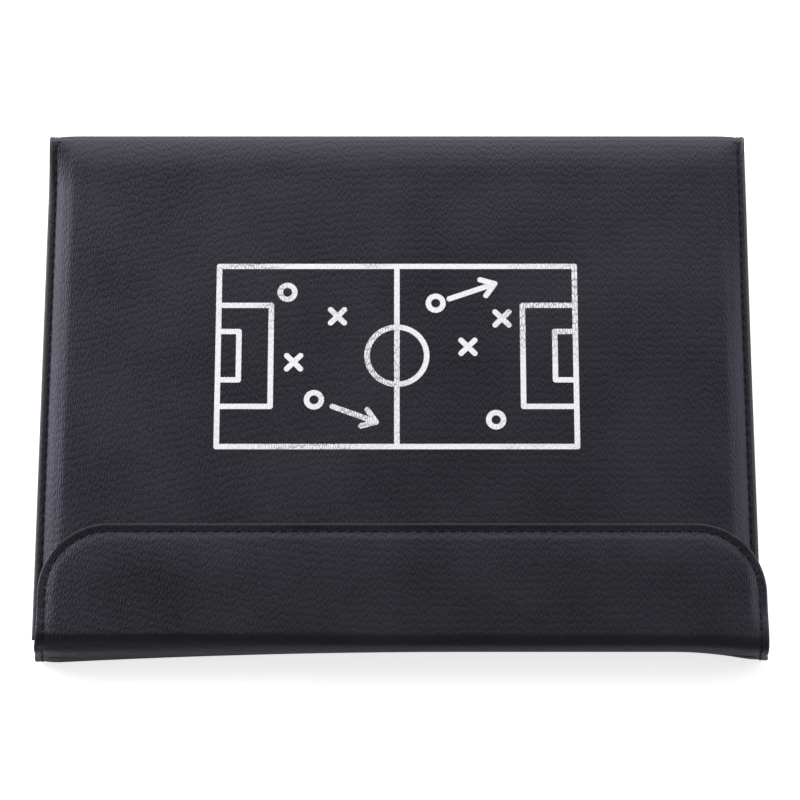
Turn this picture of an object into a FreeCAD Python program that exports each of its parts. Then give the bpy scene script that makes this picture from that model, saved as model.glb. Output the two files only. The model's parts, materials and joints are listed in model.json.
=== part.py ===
"""Folding magnetic tactics board: a leather-look folder with a padded cover, two spines and a closing flap.

Millimetres. The closed folder lies on its back panel: X runs along the creases, +Y towards the far spine,
+Z up. The origin is the middle of the face that it lies on.
"""

import FreeCAD, Part
import Sketcher
import os
import re

# Driving sizes, each with what it measures
DRIVING = {
    "folder_width": (310.0, "along the creases"),
    "folder_depth": (235.0, "between the outer faces of the two spines"),
    "inside_gap": (10.5, "storage height between the two pitch faces"),
    "skin_thick": (0.8, "outer leather"),
    "lining_thick": (0.5, "inner leather"),
    "board_thick": (2.0, "greyboard of the back and the cover"),
    "spine_board_thick": (2.0, "greyboard of the far spine"),
    "flap_board_thick": (0.8, "flexible stiffener of the flap and the near spine"),
    "foam_thick": (1.5, "padding under the cover's skin"),
    "steel_thick": (0.4, "magnetic sheet"),
    "film_thick": (0.3, "printed pitch film"),
    "flap_gap": (0.3, "between the closed flap and the cover"),
    "bend_back": (4.0, "outer radius of the creases at the back panel"),
    "bend_cover": (5.0, "outer radius of the crease between far spine and cover"),
    "bend_flap": (8.0, "outer radius of the crease between near spine and flap"),
    "crease_setback": (0.5, "from a bend to the edge of the board beside it"),
    "seam_width": (3.4, "flat sewn border of the cover and the back"),
    "shoulder_run": (8.0, "width of the rounded slope inside the sewn border"),
    "board_clear": (0.3, "round a board inside its leather"),
    "cover_setback": (6.0, "from the near spine's outer face to the cover's free edge"),
    "flap_width": (310.0, "along the crease"),
    "flap_shift": (2.5, "flap's place to the right of the cover's middle"),
    "flap_reach": (55.5, "from the near spine's outer face to the flap's tip"),
    "flap_corner": (30.0, "radius of the flap's two corners"),
    "flap_hem": (6.0, "turned-in rim of the flap's skin"),
    "flap_lining_inset": (0.6, "lining's edge inside the skin's edge"),
    "hem_clear": (0.3, "between the hem and the stiffener"),
    "closure_length": (200.0, "magnet strip in the flap, steel keeper in the cover"),
    "closure_width": (14.0, "of the strip and its keeper"),
    "closure_inset": (18.0, "from the flap's tip to the middle of the strip"),
    "closure_clear": (0.2, "round the strip and the keeper"),
    "keeper_thick": (0.4, "steel keeper under the cover's skin"),
    "field_side_inset": (16.0, "from the folder's side to the pitch"),
    "field_fold_inset": (7.0, "from the far spine's outer face to the pitch"),
    "field_edge_inset": (7.0, "from the cover's free edge to the pitch"),
    "field_corner": (3.0, "radius of the pitch film's corners"),
    "board_corner": (3.0, "radius of the boards' corners"),
    "disc_dia": (19.0, "player disc"),
    "disc_thick": (4.0, "player disc"),
    "disc_bevel": (0.7, "upper edge of a disc"),
    "ball_dia": (12.0, "ball disc"),
    "keeper_row": (12.0, "from the goal line to the goalkeeper"),
    "defence_row": (50.0, "from the goal line to the defenders"),
    "midfield_row": (96.0, "from the goal line to the midfielders"),
    "attack_row": (162.0, "from the goal line to the forwards"),
    "wing_step": (6.0, "how far wide players stand ahead of their row"),
    "ball_inset": (10.0, "from the halfway line to the ball"),
    "pen_inset": (8.5, "from the folder's side to the pen's axis"),
    "pen_length": (96.0, "with cap, eraser and plug"),
    "pen_dia": (9.0, "barrel and cap"),
    "pen_neck_dia": (7.2, "inside the cap"),
    "pen_bore_dia": (5.6, "ink chamber"),
    "pen_clear": (0.15, "round the neck and the reservoir"),
    "cap_length": (24.0, "cap without eraser"),
    "cap_end_wall": (1.5, "closed end of the cap"),
    "cap_round": (0.8, "outer edge of the cap's closed end"),
    "eraser_dia": (8.0, "felt pad on the cap"),
    "eraser_length": (4.0, "felt pad on the cap"),
    "eraser_round": (1.0, "edge of the felt pad"),
    "neck_length": (11.0, "cylindrical neck"),
    "cone_length": (5.0, "taper in front of the neck"),
    "cone_dia": (4.0, "small end of the taper"),
    "nib_dia": (2.4, "felt nib"),
    "nib_reach": (4.5, "nib in front of the taper"),
    "plug_head": (2.0, "tail plug outside the barrel"),
    "plug_insert": (5.0, "tail plug inside the barrel"),
    "loop_band": (0.8, "elastic of the pen loop"),
    "loop_length": (16.0, "width of the elastic along the pen"),
    "loop_clear": (0.3, "round the pen"),
    "loop_tab": (7.0, "from the pen's axis to the end of the sewn tab"),
}

# Levels and places that follow from the driving sizes
DERIVED = {
    "half_width": "folder_width / 2",
    "half_depth": "folder_depth / 2",
    "back_lining_base": "skin_thick + board_thick",
    "back_lining_top": "back_lining_base + lining_thick",
    "back_steel_top": "back_lining_top + steel_thick",
    "back_face": "back_steel_top + film_thick",
    "cover_face": "back_face + inside_gap",
    "cover_steel_base": "cover_face + film_thick",
    "cover_lining_base": "cover_steel_base + steel_thick",
    "cover_lining_top": "cover_lining_base + lining_thick",
    "cover_board_top": "cover_lining_top + board_thick",
    "cover_foam_top": "cover_board_top + foam_thick",
    "cover_top": "cover_foam_top + skin_thick",
    "flap_lining_base": "cover_top + flap_gap",
    "flap_lining_top": "flap_lining_base + lining_thick",
    "flap_board_top": "flap_lining_top + flap_board_thick",
    "flap_top": "flap_board_top + skin_thick",
    "spine_lining_out": "skin_thick + spine_board_thick",
    "spine_lining_in": "spine_lining_out + lining_thick",
    "flap_lining_out": "skin_thick + flap_board_thick",
    "flap_lining_in": "flap_lining_out + lining_thick",
    "cover_edge": "cover_setback - half_depth",
    "flap_tip": "flap_reach - half_depth",
    "flap_half": "flap_width / 2",
    "flap_start": "bend_flap - half_depth",
    "closure_middle": "flap_tip - closure_inset",
    "shoulder_inset": "seam_width + shoulder_run",
    "shoulder_side": "half_width - shoulder_inset",
    "shoulder_edge": "cover_edge + shoulder_inset",
    "back_rise": "back_lining_base - skin_thick",
    "back_round": "(shoulder_run ^ 2 + back_rise ^ 2) / (2 * back_rise)",
    "back_wall_reach": "sqrt((back_round - skin_thick) ^ 2 - (back_round - back_lining_base) ^ 2)",
    "cover_rise": "cover_top - cover_lining_top - skin_thick",
    "cover_round": "(shoulder_run ^ 2 + cover_rise ^ 2) / (2 * cover_rise)",
    "cover_round_level": "cover_top - cover_round",
    "cover_wall_reach": "sqrt((cover_round - skin_thick) ^ 2 - (cover_lining_top - cover_round_level) ^ 2)",
    "foam_reach": "sqrt((cover_round - skin_thick) ^ 2 - (cover_board_top - cover_round_level) ^ 2)",
    "cover_board_side": "shoulder_side + foam_reach - board_clear",
    "cover_board_near": "shoulder_edge - foam_reach + board_clear",
    "cover_board_far": "half_depth - bend_cover - crease_setback",
    "cover_mitre": "half_depth - cover_top",
    "back_board_far": "half_depth - bend_back - crease_setback",
    "field_half": "half_width - field_side_inset",
    "field_near": "cover_edge + field_edge_inset",
    "field_far": "half_depth - field_fold_inset",
    "lane_pitch": "field_half / 6",
    "disc_rad": "disc_dia / 2",
    "pen_rad": "pen_dia / 2",
    "pen_half": "pen_length / 2",
    "loop_rad": "pen_rad + loop_clear",
    "loop_axis": "loop_rad + loop_band",
    "cap_end": "eraser_length - pen_half",
    "cap_mouth": "cap_end + cap_length",
    "neck_end": "cap_mouth - neck_length",
    "cone_end": "neck_end - cone_length",
    "barrel_tail": "pen_half - plug_head",
}

doc = FreeCAD.newDocument("tactics_board")
sheet = doc.addObject("Spreadsheet::Sheet", "sizes")
FORMULA_WORDS = ("sqrt",)
WORKING_CELL = "E1"


def fill_sheet():
    """Writes the driving sizes as numbers and the derived ones as formulas, each under its alias."""
    row = 0
    for alias, (number, note) in DRIVING.items():
        row += 1
        sheet.set(f"A{row}", alias)
        sheet.set(f"B{row}", str(number))
        sheet.set(f"C{row}", note)
        sheet.setAlias(f"B{row}", alias)
    for alias, formula in DERIVED.items():
        row += 1
        sheet.set(f"A{row}", alias)
        sheet.setAlias(f"B{row}", alias)
        sheet.set(f"B{row}", "=" + formula)
    doc.recompute()


def bound(text):
    """The expression with each alias pointed at the sheet."""
    return re.sub(r"[a-z_]+", lambda m: m[0] if m[0] in FORMULA_WORDS else "sizes." + m[0], text)


def measure(text):
    """The value of an expression of sizes, worked out in the sheet itself."""
    sheet.set(WORKING_CELL, "=" + text)
    sheet.recompute()
    return float(sheet.get(WORKING_CELL))


class Crease:
    """A rounded fold of the leather, split at 45 degrees between a panel and a spine.

    edge and level place the sharp outer corner; inward and upward are the signs that lead from it into the
    folder. A layer that lies some depth inside the outer face bends about the same centre.
    """

    def __init__(self, edge, level, inward, upward, radius):
        self.edge = edge
        self.level = level
        self.inward = inward
        self.upward = upward
        self.radius = radius
        self.centre = (f"{edge} {inward} {radius}", f"{level} {upward} {radius}")

    def mitre(self, depth):
        """The layer's end on the 45 degree plane."""
        back = {"+": "-", "-": "+"}
        out = f"({self.radius} - {depth}) * sqrt(0.5)"
        across, up = self.centre
        return (f"{across} {back[self.inward]} {out}", f"{up} {back[self.upward]} {out}")

    def on_panel(self, depth):
        """Where the layer's bend runs into the panel."""
        return (self.centre[0], f"{self.level} {self.upward} {depth}")

    def on_spine(self, depth):
        """Where the layer's bend runs into the spine."""
        return (f"{self.edge} {self.inward} {depth}", self.centre[1])


FAR_LOW = Crease("half_depth", "0", "-", "+", "bend_back")
FAR_HIGH = Crease("half_depth", "cover_top", "-", "-", "bend_cover")
NEAR_LOW = Crease("-half_depth", "0", "+", "+", "bend_back")
NEAR_HIGH = Crease("-half_depth", "flap_top", "+", "-", "bend_flap")

# How a free sketch is turned to lie in each plane
PLANE_TURN = {
    "YZ_Plane": FreeCAD.Rotation(FreeCAD.Vector(0, 1, 0), FreeCAD.Vector(0, 0, 1), FreeCAD.Vector(1, 0, 0)),
    "XZ_Plane": FreeCAD.Rotation(FreeCAD.Vector(1, 0, 0), FreeCAD.Vector(0, 0, 1), FreeCAD.Vector(0, -1, 0)),
}


def new_sketch(body, plane, level):
    """An empty sketch on one of the body's origin planes, raised to a level, or a free one with no body."""
    if body is None:
        sketch = doc.addObject("Sketcher::SketchObject", "sketch")
        sketch.Placement = FreeCAD.Placement(FreeCAD.Vector(), PLANE_TURN[plane])
        return sketch
    sketch = body.newObject("Sketcher::SketchObject", body.Name + "_sketch")
    origin_plane = [item for item in body.Origin.OriginFeatures if item.Role == plane][0]
    sketch.AttachmentSupport = (origin_plane, [""])
    sketch.MapMode = "FlatFace"
    sketch.setExpression("AttachmentOffset.Base.z", bound(level))
    return sketch


def fix_point(sketch, element, end, across=None, up=None):
    """Ties a point's coordinates to expressions of sizes."""
    for kind, text in (("DistanceX", across), ("DistanceY", up)):
        if text is not None:
            index = sketch.addConstraint(Sketcher.Constraint(kind, element, end, measure(text)))
            sketch.setExpression(f"Constraints[{index}]", bound(text))


def add_arc(sketch, start, finish, centre):
    """The shorter arc from start to finish; returns its element and which end lies at start."""
    middle = FreeCAD.Vector(*centre, 0)
    first = FreeCAD.Vector(*start, 0) - middle
    last = FreeCAD.Vector(*finish, 0) - middle
    flat = FreeCAD.Vector(1, 0, 0)
    axis = FreeCAD.Vector(0, 0, 1)
    turns = [flat.getAngle(ray) * (1 if ray.y >= 0 else -1) for ray in (first, last)]
    forward = first.cross(last).z > 0
    if not forward:
        turns.reverse()
    circle = Part.Circle(middle, axis, first.Length)
    element = sketch.addGeometry(Part.ArcOfCircle(circle, turns[0], turns[1]))
    return element, 1 if forward else 2


def add_outline(sketch, corners, centres=None):
    """A closed outline through the corners; centres gives, by its first corner, each arc's centre."""
    centres = centres or {}
    places = [(measure(across), measure(up)) for across, up in corners]
    count = len(corners)
    runs = []
    for index, start in enumerate(places):
        finish = places[(index + 1) % count]
        if index in centres:
            hub = tuple(measure(text) for text in centres[index])
            runs.append(add_arc(sketch, start, finish, hub))
        else:
            line = Part.LineSegment(FreeCAD.Vector(*start, 0), FreeCAD.Vector(*finish, 0))
            runs.append((sketch.addGeometry(line), 1))
    for index, (element, first) in enumerate(runs):
        following, opening = runs[(index + 1) % count]
        sketch.addConstraint(Sketcher.Constraint("Coincident", element, 3 - first, following, opening))
        fix_point(sketch, element, first, *corners[index])
    for index, (across, up) in centres.items():
        start = places[index]
        finish = places[(index + 1) % count]
        steep = abs(finish[1] - start[1]) > abs(finish[0] - start[0])
        if steep:
            fix_point(sketch, runs[index][0], 3, across=across)
        else:
            fix_point(sketch, runs[index][0], 3, up=up)


def drawn(body, plane, corners, centres=None, level="0"):
    """A sketch that holds one closed outline."""
    sketch = new_sketch(body, plane, level)
    add_outline(sketch, corners, centres)
    return sketch


def drawn_circle(body, plane, up, radius):
    """A sketch that holds one circle, its centre above the sketch's origin."""
    sketch = new_sketch(body, plane, "0")
    circle = Part.Circle(FreeCAD.Vector(0, measure(up), 0), FreeCAD.Vector(0, 0, 1), measure(radius))
    element = sketch.addGeometry(circle)
    fix_point(sketch, element, 3, "0", up)
    index = sketch.addConstraint(Sketcher.Constraint("Radius", element, measure(radius)))
    sketch.setExpression(f"Constraints[{index}]", bound(radius))
    return sketch


def rectangle(left, near, right, far):
    """Corners of a plain rectangle."""
    return [(left, near), (right, near), (right, far), (left, far)]


def rounded_rectangle(left, near, right, far, radius):
    """Corners and arc centres of a rectangle with four round corners."""
    west, east = f"{left} + {radius}", f"{right} - {radius}"
    south, north = f"{near} + {radius}", f"{far} - {radius}"
    corners = [(west, near), (east, near), (right, south), (right, north)]
    corners += [(east, far), (west, far), (left, north), (left, south)]
    return corners, {1: (east, south), 3: (east, north), 5: (west, north), 7: (west, south)}


sub_parts = []


def new_body(label):
    """A body that is one sub-part."""
    body = doc.addObject("PartDesign::Body", label)
    body.Label = label
    sub_parts.append(body)
    return body


def add_length_feature(body, kind, sketch, length, symmetric=False):
    """A pad or pocket of the sketch."""
    feature = body.newObject("PartDesign::" + kind, body.Name + "_" + kind.lower())
    feature.Profile = sketch
    feature.setExpression("Length", bound(length))
    feature.SideType = "Symmetric" if symmetric else "One side"
    return feature


def add_turn(body, sketch, axis):
    """A full revolution of the sketch about one of its own axes."""
    feature = body.newObject("PartDesign::Revolution", body.Name + "_turn")
    feature.Profile = sketch
    feature.ReferenceAxis = (sketch, [axis])
    feature.Angle = 360
    return feature


def place(body, across="0", along="0", level="0"):
    """Ties a sub-part's place to expressions of sizes."""
    for axis, text in (("x", across), ("y", along), ("z", level)):
        body.setExpression("Placement.Base." + axis, bound(text))


def strip(label, corners, centres=None, width="folder_width", shift="0"):
    """A piece with one section all along the creases."""
    body = new_body(label)
    add_length_feature(body, "Pad", drawn(body, "YZ_Plane", corners, centres), width, symmetric=True)
    place(body, shift)
    return body


def sheet_piece(label, level, thick, outline):
    """A flat piece of one thickness, from its outline's corners and arc centres."""
    body = new_body(label)
    corners, centres = outline
    add_length_feature(body, "Pad", drawn(body, "XY_Plane", corners, centres, level), thick)
    place(body)
    return body


def extrusion(plane, corners, centres, length):
    """A free solid with the outline as its section, as long each way from the plane."""
    solid = doc.addObject("Part::Extrusion", "extrusion")
    solid.Base = drawn(None, plane, corners, centres)
    solid.DirMode = "Normal"
    solid.Symmetric = True
    solid.Solid = True
    solid.setExpression("LengthFwd", bound(length))
    return solid


def crossing(name, side_view, front_view):
    """What a side outline and a front outline, each run right through, have in common."""
    common = doc.addObject("Part::Common", name)
    common.Base = extrusion("YZ_Plane", *side_view, "2 * folder_width")
    common.Tool = extrusion("XZ_Plane", *front_view, "2 * folder_depth")
    return common


def difference(label, solid, removed):
    """A sub-part left of one solid when another is cut away."""
    cut = doc.addObject("Part::Cut", label)
    cut.Label = label
    cut.Base = solid
    cut.Tool = removed
    sub_parts.append(cut)
    return cut


def round_upright_edges(body, along, radius):
    """Rounds the two upright edges that stand at one place along the folder."""
    doc.recompute()
    base = body.Tip
    here = measure(along)
    names = []
    for index, edge in enumerate(base.Shape.Edges, start=1):
        box = edge.BoundBox
        if box.ZLength > max(box.XLength, box.YLength) and abs(box.Center.y - here) < 0.01:
            names.append(f"Edge{index}")
    feature = body.newObject("PartDesign::Fillet", body.Name + "_corners")
    feature.Base = (base, names)
    feature.setExpression("Radius", bound(radius))


# Back panel: a flat tray of leather round a board, lined, with a steel sheet under the pitch film


def back_views(depth, front_corners, front_centres):
    """Side and front outlines of the back tray's outside or hollow, at a depth inside its outer face."""
    inset = "(half_depth - back_lining_base)"
    rim = [(inset, "back_lining_base"), (f"-{inset}", "back_lining_base")]
    run = [NEAR_LOW.mitre(depth), NEAR_LOW.on_panel(depth), FAR_LOW.on_panel(depth), FAR_LOW.mitre(depth)]
    return (run + rim, {0: NEAR_LOW.centre, 2: FAR_LOW.centre}), (front_corners, front_centres)


def build_back_skin():
    """Outer leather of the back: flat below, its sides rounded up to a sewn border under the lining."""
    outside = [
        ("-half_width", "back_lining_base"),
        ("-half_width", "back_rise"),
        ("seam_width - half_width", "back_rise"),
        ("-shoulder_side", "0"),
        ("shoulder_side", "0"),
        ("half_width - seam_width", "back_rise"),
        ("half_width", "back_rise"),
        ("half_width", "back_lining_base"),
    ]
    hubs = [("-shoulder_side", "back_round"), ("shoulder_side", "back_round")]
    hollow = [
        ("-shoulder_side - back_wall_reach", "back_lining_base"),
        ("-shoulder_side", "skin_thick"),
        ("shoulder_side", "skin_thick"),
        ("shoulder_side + back_wall_reach", "back_lining_base"),
    ]
    outer = back_views("0", outside, {2: hubs[0], 4: hubs[1]})
    inner = back_views("skin_thick", hollow, {0: hubs[0], 2: hubs[1]})
    difference("back_skin", crossing("back_outside", *outer), crossing("back_hollow", *inner))


def build_back_layers():
    """Board, lining, steel sheet and pitch film of the back."""
    side = "shoulder_side - board_clear"
    board = rounded_rectangle(f"-({side})", "-back_board_far", side, "back_board_far", "board_corner")
    sheet_piece("back_board", "skin_thick", "board_thick", board)
    lining = [
        ("back_lining_base - half_depth", "back_lining_base"),
        ("half_depth - back_lining_base", "back_lining_base"),
        ("half_depth - back_lining_top", "back_lining_top"),
        ("back_lining_top - half_depth", "back_lining_top"),
    ]
    strip("back_lining", lining)
    field = rounded_rectangle("-field_half", "field_near", "field_half", "field_far", "field_corner")
    sheet_piece("back_steel_sheet", "back_lining_top", "steel_thick", field)
    sheet_piece("back_field_film", "back_steel_top", "film_thick", field)


# Far spine: leather, a strip of board and a lining, between two creases


def spine_section(low, high, outer, inner):
    """Corners and arc centres of a spine's bent layer between two depths inside its outer face."""
    corners = [low.mitre(outer), low.on_spine(outer), high.on_spine(outer), high.mitre(outer)]
    corners += [high.mitre(inner), high.on_spine(inner), low.on_spine(inner), low.mitre(inner)]
    return corners, {0: low.centre, 2: high.centre, 4: high.centre, 6: low.centre}


def build_far_spine():
    """The spine that joins the back to the cover."""
    strip("top_spine_skin", *spine_section(FAR_LOW, FAR_HIGH, "0", "skin_thick"))
    foot = "bend_back + crease_setback"
    head = "cover_top - bend_cover - crease_setback"
    board = rectangle("half_depth - spine_lining_out", foot, "half_depth - skin_thick", head)
    strip("top_spine_strip", board, width="2 * shoulder_side")
    lining = [
        ("half_depth - spine_lining_out", "spine_lining_out"),
        ("half_depth - spine_lining_out", "cover_top - spine_lining_out"),
        ("half_depth - spine_lining_in", "cover_top - spine_lining_in"),
        ("half_depth - spine_lining_in", "spine_lining_in"),
    ]
    strip("top_spine_lining", lining)


# Front cover: a padded leather tray over foam and board, with a lining, steel sheet and pitch film below


def build_cover_skin():
    """Outer leather of the cover: a padded plateau, rounded down to a sewn border on three sides."""
    border = "cover_lining_top + skin_thick"
    edge_hub = ("shoulder_edge", "cover_round_level")
    side_view = [
        FAR_HIGH.mitre("0"),
        FAR_HIGH.on_panel("0"),
        ("shoulder_edge", "cover_top"),
        ("cover_edge + seam_width", border),
        ("cover_edge", border),
        ("cover_edge", "cover_lining_top"),
        ("cover_mitre + cover_lining_top", "cover_lining_top"),
    ]
    front_view = [
        ("-half_width", "cover_lining_top"),
        ("-half_width", border),
        ("seam_width - half_width", border),
        ("-shoulder_side", "cover_top"),
        ("shoulder_side", "cover_top"),
        ("half_width - seam_width", border),
        ("half_width", border),
        ("half_width", "cover_lining_top"),
    ]
    hubs = [("-shoulder_side", "cover_round_level"), ("shoulder_side", "cover_round_level")]
    hollow_side = [
        FAR_HIGH.mitre("skin_thick"),
        FAR_HIGH.on_panel("skin_thick"),
        ("shoulder_edge", "cover_foam_top"),
        ("shoulder_edge - cover_wall_reach", "cover_lining_top"),
        ("cover_mitre + cover_lining_top", "cover_lining_top"),
    ]
    hollow_front = [
        ("-shoulder_side - cover_wall_reach", "cover_lining_top"),
        ("-shoulder_side", "cover_foam_top"),
        ("shoulder_side", "cover_foam_top"),
        ("shoulder_side + cover_wall_reach", "cover_lining_top"),
    ]
    fold = {0: FAR_HIGH.centre, 2: edge_hub}
    outer = ((side_view, fold), (front_view, {2: hubs[0], 4: hubs[1]}))
    inner = ((hollow_side, fold), (hollow_front, {0: hubs[0], 2: hubs[1]}))
    difference("cover_skin", crossing("cover_outside", *outer), crossing("cover_hollow", *inner))


def build_cover_foam():
    """Padding that fills the leather above the board, with a seat for the steel keeper."""
    side_view = [
        ("cover_board_far", "cover_board_top"),
        ("cover_board_far", "cover_foam_top"),
        ("shoulder_edge", "cover_foam_top"),
        ("shoulder_edge - foam_reach", "cover_board_top"),
    ]
    front_view = [
        ("-shoulder_side - foam_reach", "cover_board_top"),
        ("-shoulder_side", "cover_foam_top"),
        ("shoulder_side", "cover_foam_top"),
        ("shoulder_side + foam_reach", "cover_board_top"),
    ]
    edge_hub = ("shoulder_edge", "cover_round_level")
    hubs = [("-shoulder_side", "cover_round_level"), ("shoulder_side", "cover_round_level")]
    pad = crossing("foam_pad", (side_view, {2: edge_hub}), (front_view, {0: hubs[0], 2: hubs[1]}))
    seat = doc.addObject("Part::Box", "keeper_seat")
    seat.setExpression("Length", bound("closure_length + 2 * closure_clear"))
    seat.setExpression("Width", bound("closure_width + 2 * closure_clear"))
    seat.setExpression("Height", bound("keeper_thick"))
    along = "closure_middle - closure_width / 2 - closure_clear"
    place(seat, "flap_shift - closure_length / 2 - closure_clear", along, "cover_foam_top - keeper_thick")
    difference("cover_foam", pad, seat)


def closure_outline(grow):
    """The closing strip's outline, grown by a clearance, about the flap's own middle."""
    across = f"(closure_length / 2 + {grow})"
    along = f"(closure_width / 2 + {grow})"
    near, far = f"closure_middle - {along}", f"closure_middle + {along}"
    return rectangle(f"-{across}", near, across, far), None


def build_cover_layers():
    """Keeper, board, lining, steel sheet and pitch film of the cover."""
    keeper_base = "cover_foam_top - keeper_thick"
    keeper = sheet_piece("cover_keeper_strip", keeper_base, "keeper_thick", closure_outline("0"))
    place(keeper, "flap_shift")
    board = rounded_rectangle(
        "-cover_board_side", "cover_board_near", "cover_board_side", "cover_board_far", "board_corner"
    )
    sheet_piece("cover_board", "cover_lining_top", "board_thick", board)
    lining = [
        ("cover_edge", "cover_lining_base"),
        ("cover_mitre + cover_lining_base", "cover_lining_base"),
        ("cover_mitre + cover_lining_top", "cover_lining_top"),
        ("cover_edge", "cover_lining_top"),
    ]
    strip("cover_lining", lining)
    field = rounded_rectangle("-field_half", "field_near", "field_half", "field_far", "field_corner")
    sheet_piece("cover_steel_sheet", "cover_steel_base", "steel_thick", field)
    sheet_piece("cover_field_film", "cover_face", "film_thick", field)


# Near spine and flap: soft leather over a flexible stiffener, with a magnet strip near the tip


def build_near_spine():
    """The spine that joins the back to the flap."""
    shape = {"width": "flap_width", "shift": "flap_shift"}
    strip("bottom_spine_skin", *spine_section(NEAR_LOW, NEAR_HIGH, "0", "skin_thick"), **shape)
    foot = "bend_back + crease_setback"
    head = "flap_top - bend_flap - crease_setback"
    board = rectangle("skin_thick - half_depth", foot, "flap_lining_out - half_depth", head)
    strip("bottom_spine_strip", board, width="flap_width - 2 * flap_hem", shift="flap_shift")
    section = spine_section(NEAR_LOW, NEAR_HIGH, "flap_lining_out", "flap_lining_in")
    strip("bottom_spine_lining", *section, **shape)


def flap_section(outer, inner, tip):
    """Corners and arc centres of a flap's layer, from its crease to its tip."""
    corners = [NEAR_HIGH.mitre(outer), NEAR_HIGH.on_panel(outer), (tip, f"flap_top - {outer}")]
    corners += [(tip, f"flap_top - {inner}"), NEAR_HIGH.on_panel(inner), NEAR_HIGH.mitre(inner)]
    return corners, {0: NEAR_HIGH.centre, 4: NEAR_HIGH.centre}


def build_flap_skin():
    """Outer leather of the flap, its rim turned under on three sides."""
    section = flap_section("0", "skin_thick", "flap_tip")
    body = strip("flap_skin", *section, width="flap_width", shift="flap_shift")
    round_upright_edges(body, "flap_tip", "flap_corner")
    east, north = "flap_half - flap_corner", "flap_tip - flap_corner"
    rim, fold = "flap_half - flap_hem", "flap_tip - flap_hem"
    hem = [
        ("-flap_half", "flap_start"),
        ("-flap_half", north),
        (f"-({east})", "flap_tip"),
        (east, "flap_tip"),
        ("flap_half", north),
        ("flap_half", "flap_start"),
        (rim, "flap_start"),
        (rim, north),
        (east, fold),
        (f"-({east})", fold),
        (f"-({rim})", north),
        (f"-({rim})", "flap_start"),
    ]
    hubs = [(f"-({east})", north), (east, north)]
    centres = {1: hubs[0], 3: hubs[1], 7: hubs[1], 9: hubs[0]}
    sketch = drawn(body, "XY_Plane", hem, centres, "flap_lining_top")
    add_length_feature(body, "Pad", sketch, "flap_board_thick")


def build_flap_layers():
    """Stiffener, magnet strip and lining of the flap."""
    side = "(flap_half - flap_hem - hem_clear)"
    north = "(flap_tip - flap_hem - hem_clear)"
    radius = "(flap_corner - flap_hem - hem_clear)"
    south = "flap_start + crease_setback"
    corners = [
        (f"-{side}", south),
        (side, south),
        (side, f"{north} - {radius}"),
        (f"{side} - {radius}", north),
        (f"{radius} - {side}", north),
        (f"-{side}", f"{north} - {radius}"),
    ]
    hubs = [(f"{side} - {radius}", f"{north} - {radius}"), (f"{radius} - {side}", f"{north} - {radius}")]
    outline = (corners, {2: hubs[0], 4: hubs[1]})
    stiffener = sheet_piece("flap_stiffener", "flap_lining_top", "flap_board_thick", outline)
    slot, _ = closure_outline("closure_clear")
    sketch = drawn(stiffener, "XY_Plane", slot, level="flap_board_top")
    add_length_feature(stiffener, "Pocket", sketch, "flap_board_thick")
    place(stiffener, "flap_shift")
    magnet = sheet_piece("flap_magnet_strip", "flap_lining_top", "flap_board_thick", closure_outline("0"))
    place(magnet, "flap_shift")
    section = flap_section("flap_lining_out", "flap_lining_in", "flap_tip - flap_lining_inset")
    width = "flap_width - 2 * flap_lining_inset"
    lining = strip("flap_lining", *section, width=width, shift="flap_shift")
    round_upright_edges(lining, "flap_tip - flap_lining_inset", "flap_corner - flap_lining_inset")


# Marker pen in an elastic loop beside the pitch


def turned_along_pen(label, corners, centres=None):
    """A round piece of the pen, from its half section along the pen's axis."""
    body = new_body(label)
    add_turn(body, drawn(body, "YZ_Plane", corners, centres), "H_Axis")
    place(body, "half_width - pen_inset", "0", "back_lining_top + loop_axis")
    return body


def build_pen_loop():
    """Elastic band sewn to the lining by a flat tab, with a round sleeve for the pen."""
    body = new_body("pen_loop")
    tab = rectangle("-loop_tab", "0", "loop_tab", "loop_band")
    add_length_feature(body, "Pad", drawn(body, "XZ_Plane", tab), "loop_length", symmetric=True)
    sleeve = drawn_circle(body, "XZ_Plane", "loop_axis", "loop_axis")
    add_length_feature(body, "Pad", sleeve, "loop_length", symmetric=True)
    hole = drawn_circle(body, "XZ_Plane", "loop_axis", "loop_rad")
    add_length_feature(body, "Pocket", hole, "loop_length", symmetric=True)
    place(body, "half_width - pen_inset", "0", "back_lining_top")


def build_pen():
    """Barrel, ink reservoir, nib and tail plug."""
    bore, neck, nib = "pen_bore_dia / 2", "pen_neck_dia / 2", "nib_dia / 2"
    barrel = [
        ("barrel_tail", bore),
        ("barrel_tail", "pen_rad"),
        ("cap_mouth", "pen_rad"),
        ("cap_mouth", neck),
        ("neck_end", neck),
        ("cone_end", "cone_dia / 2"),
        ("cone_end", nib),
        ("neck_end", nib),
        ("neck_end", bore),
    ]
    turned_along_pen("pen_barrel", barrel)
    stop = "barrel_tail - plug_insert"
    reservoir = rectangle("neck_end", "0", stop, f"{bore} - pen_clear")
    turned_along_pen("pen_reservoir", reservoir)
    tip = "cone_end - nib_reach"
    felt = [("neck_end", "0"), ("neck_end", nib), (f"{tip} + {nib}", nib), (tip, "0")]
    turned_along_pen("pen_nib", felt, {2: (f"{tip} + {nib}", "0")})
    plug = [
        (stop, "0"),
        (stop, bore),
        ("barrel_tail", bore),
        ("barrel_tail", "pen_rad"),
        ("pen_half", "pen_rad - plug_head"),
        ("pen_half", "0"),
    ]
    turned_along_pen("pen_end_plug", plug, {3: ("barrel_tail", "pen_rad - plug_head")})


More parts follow.
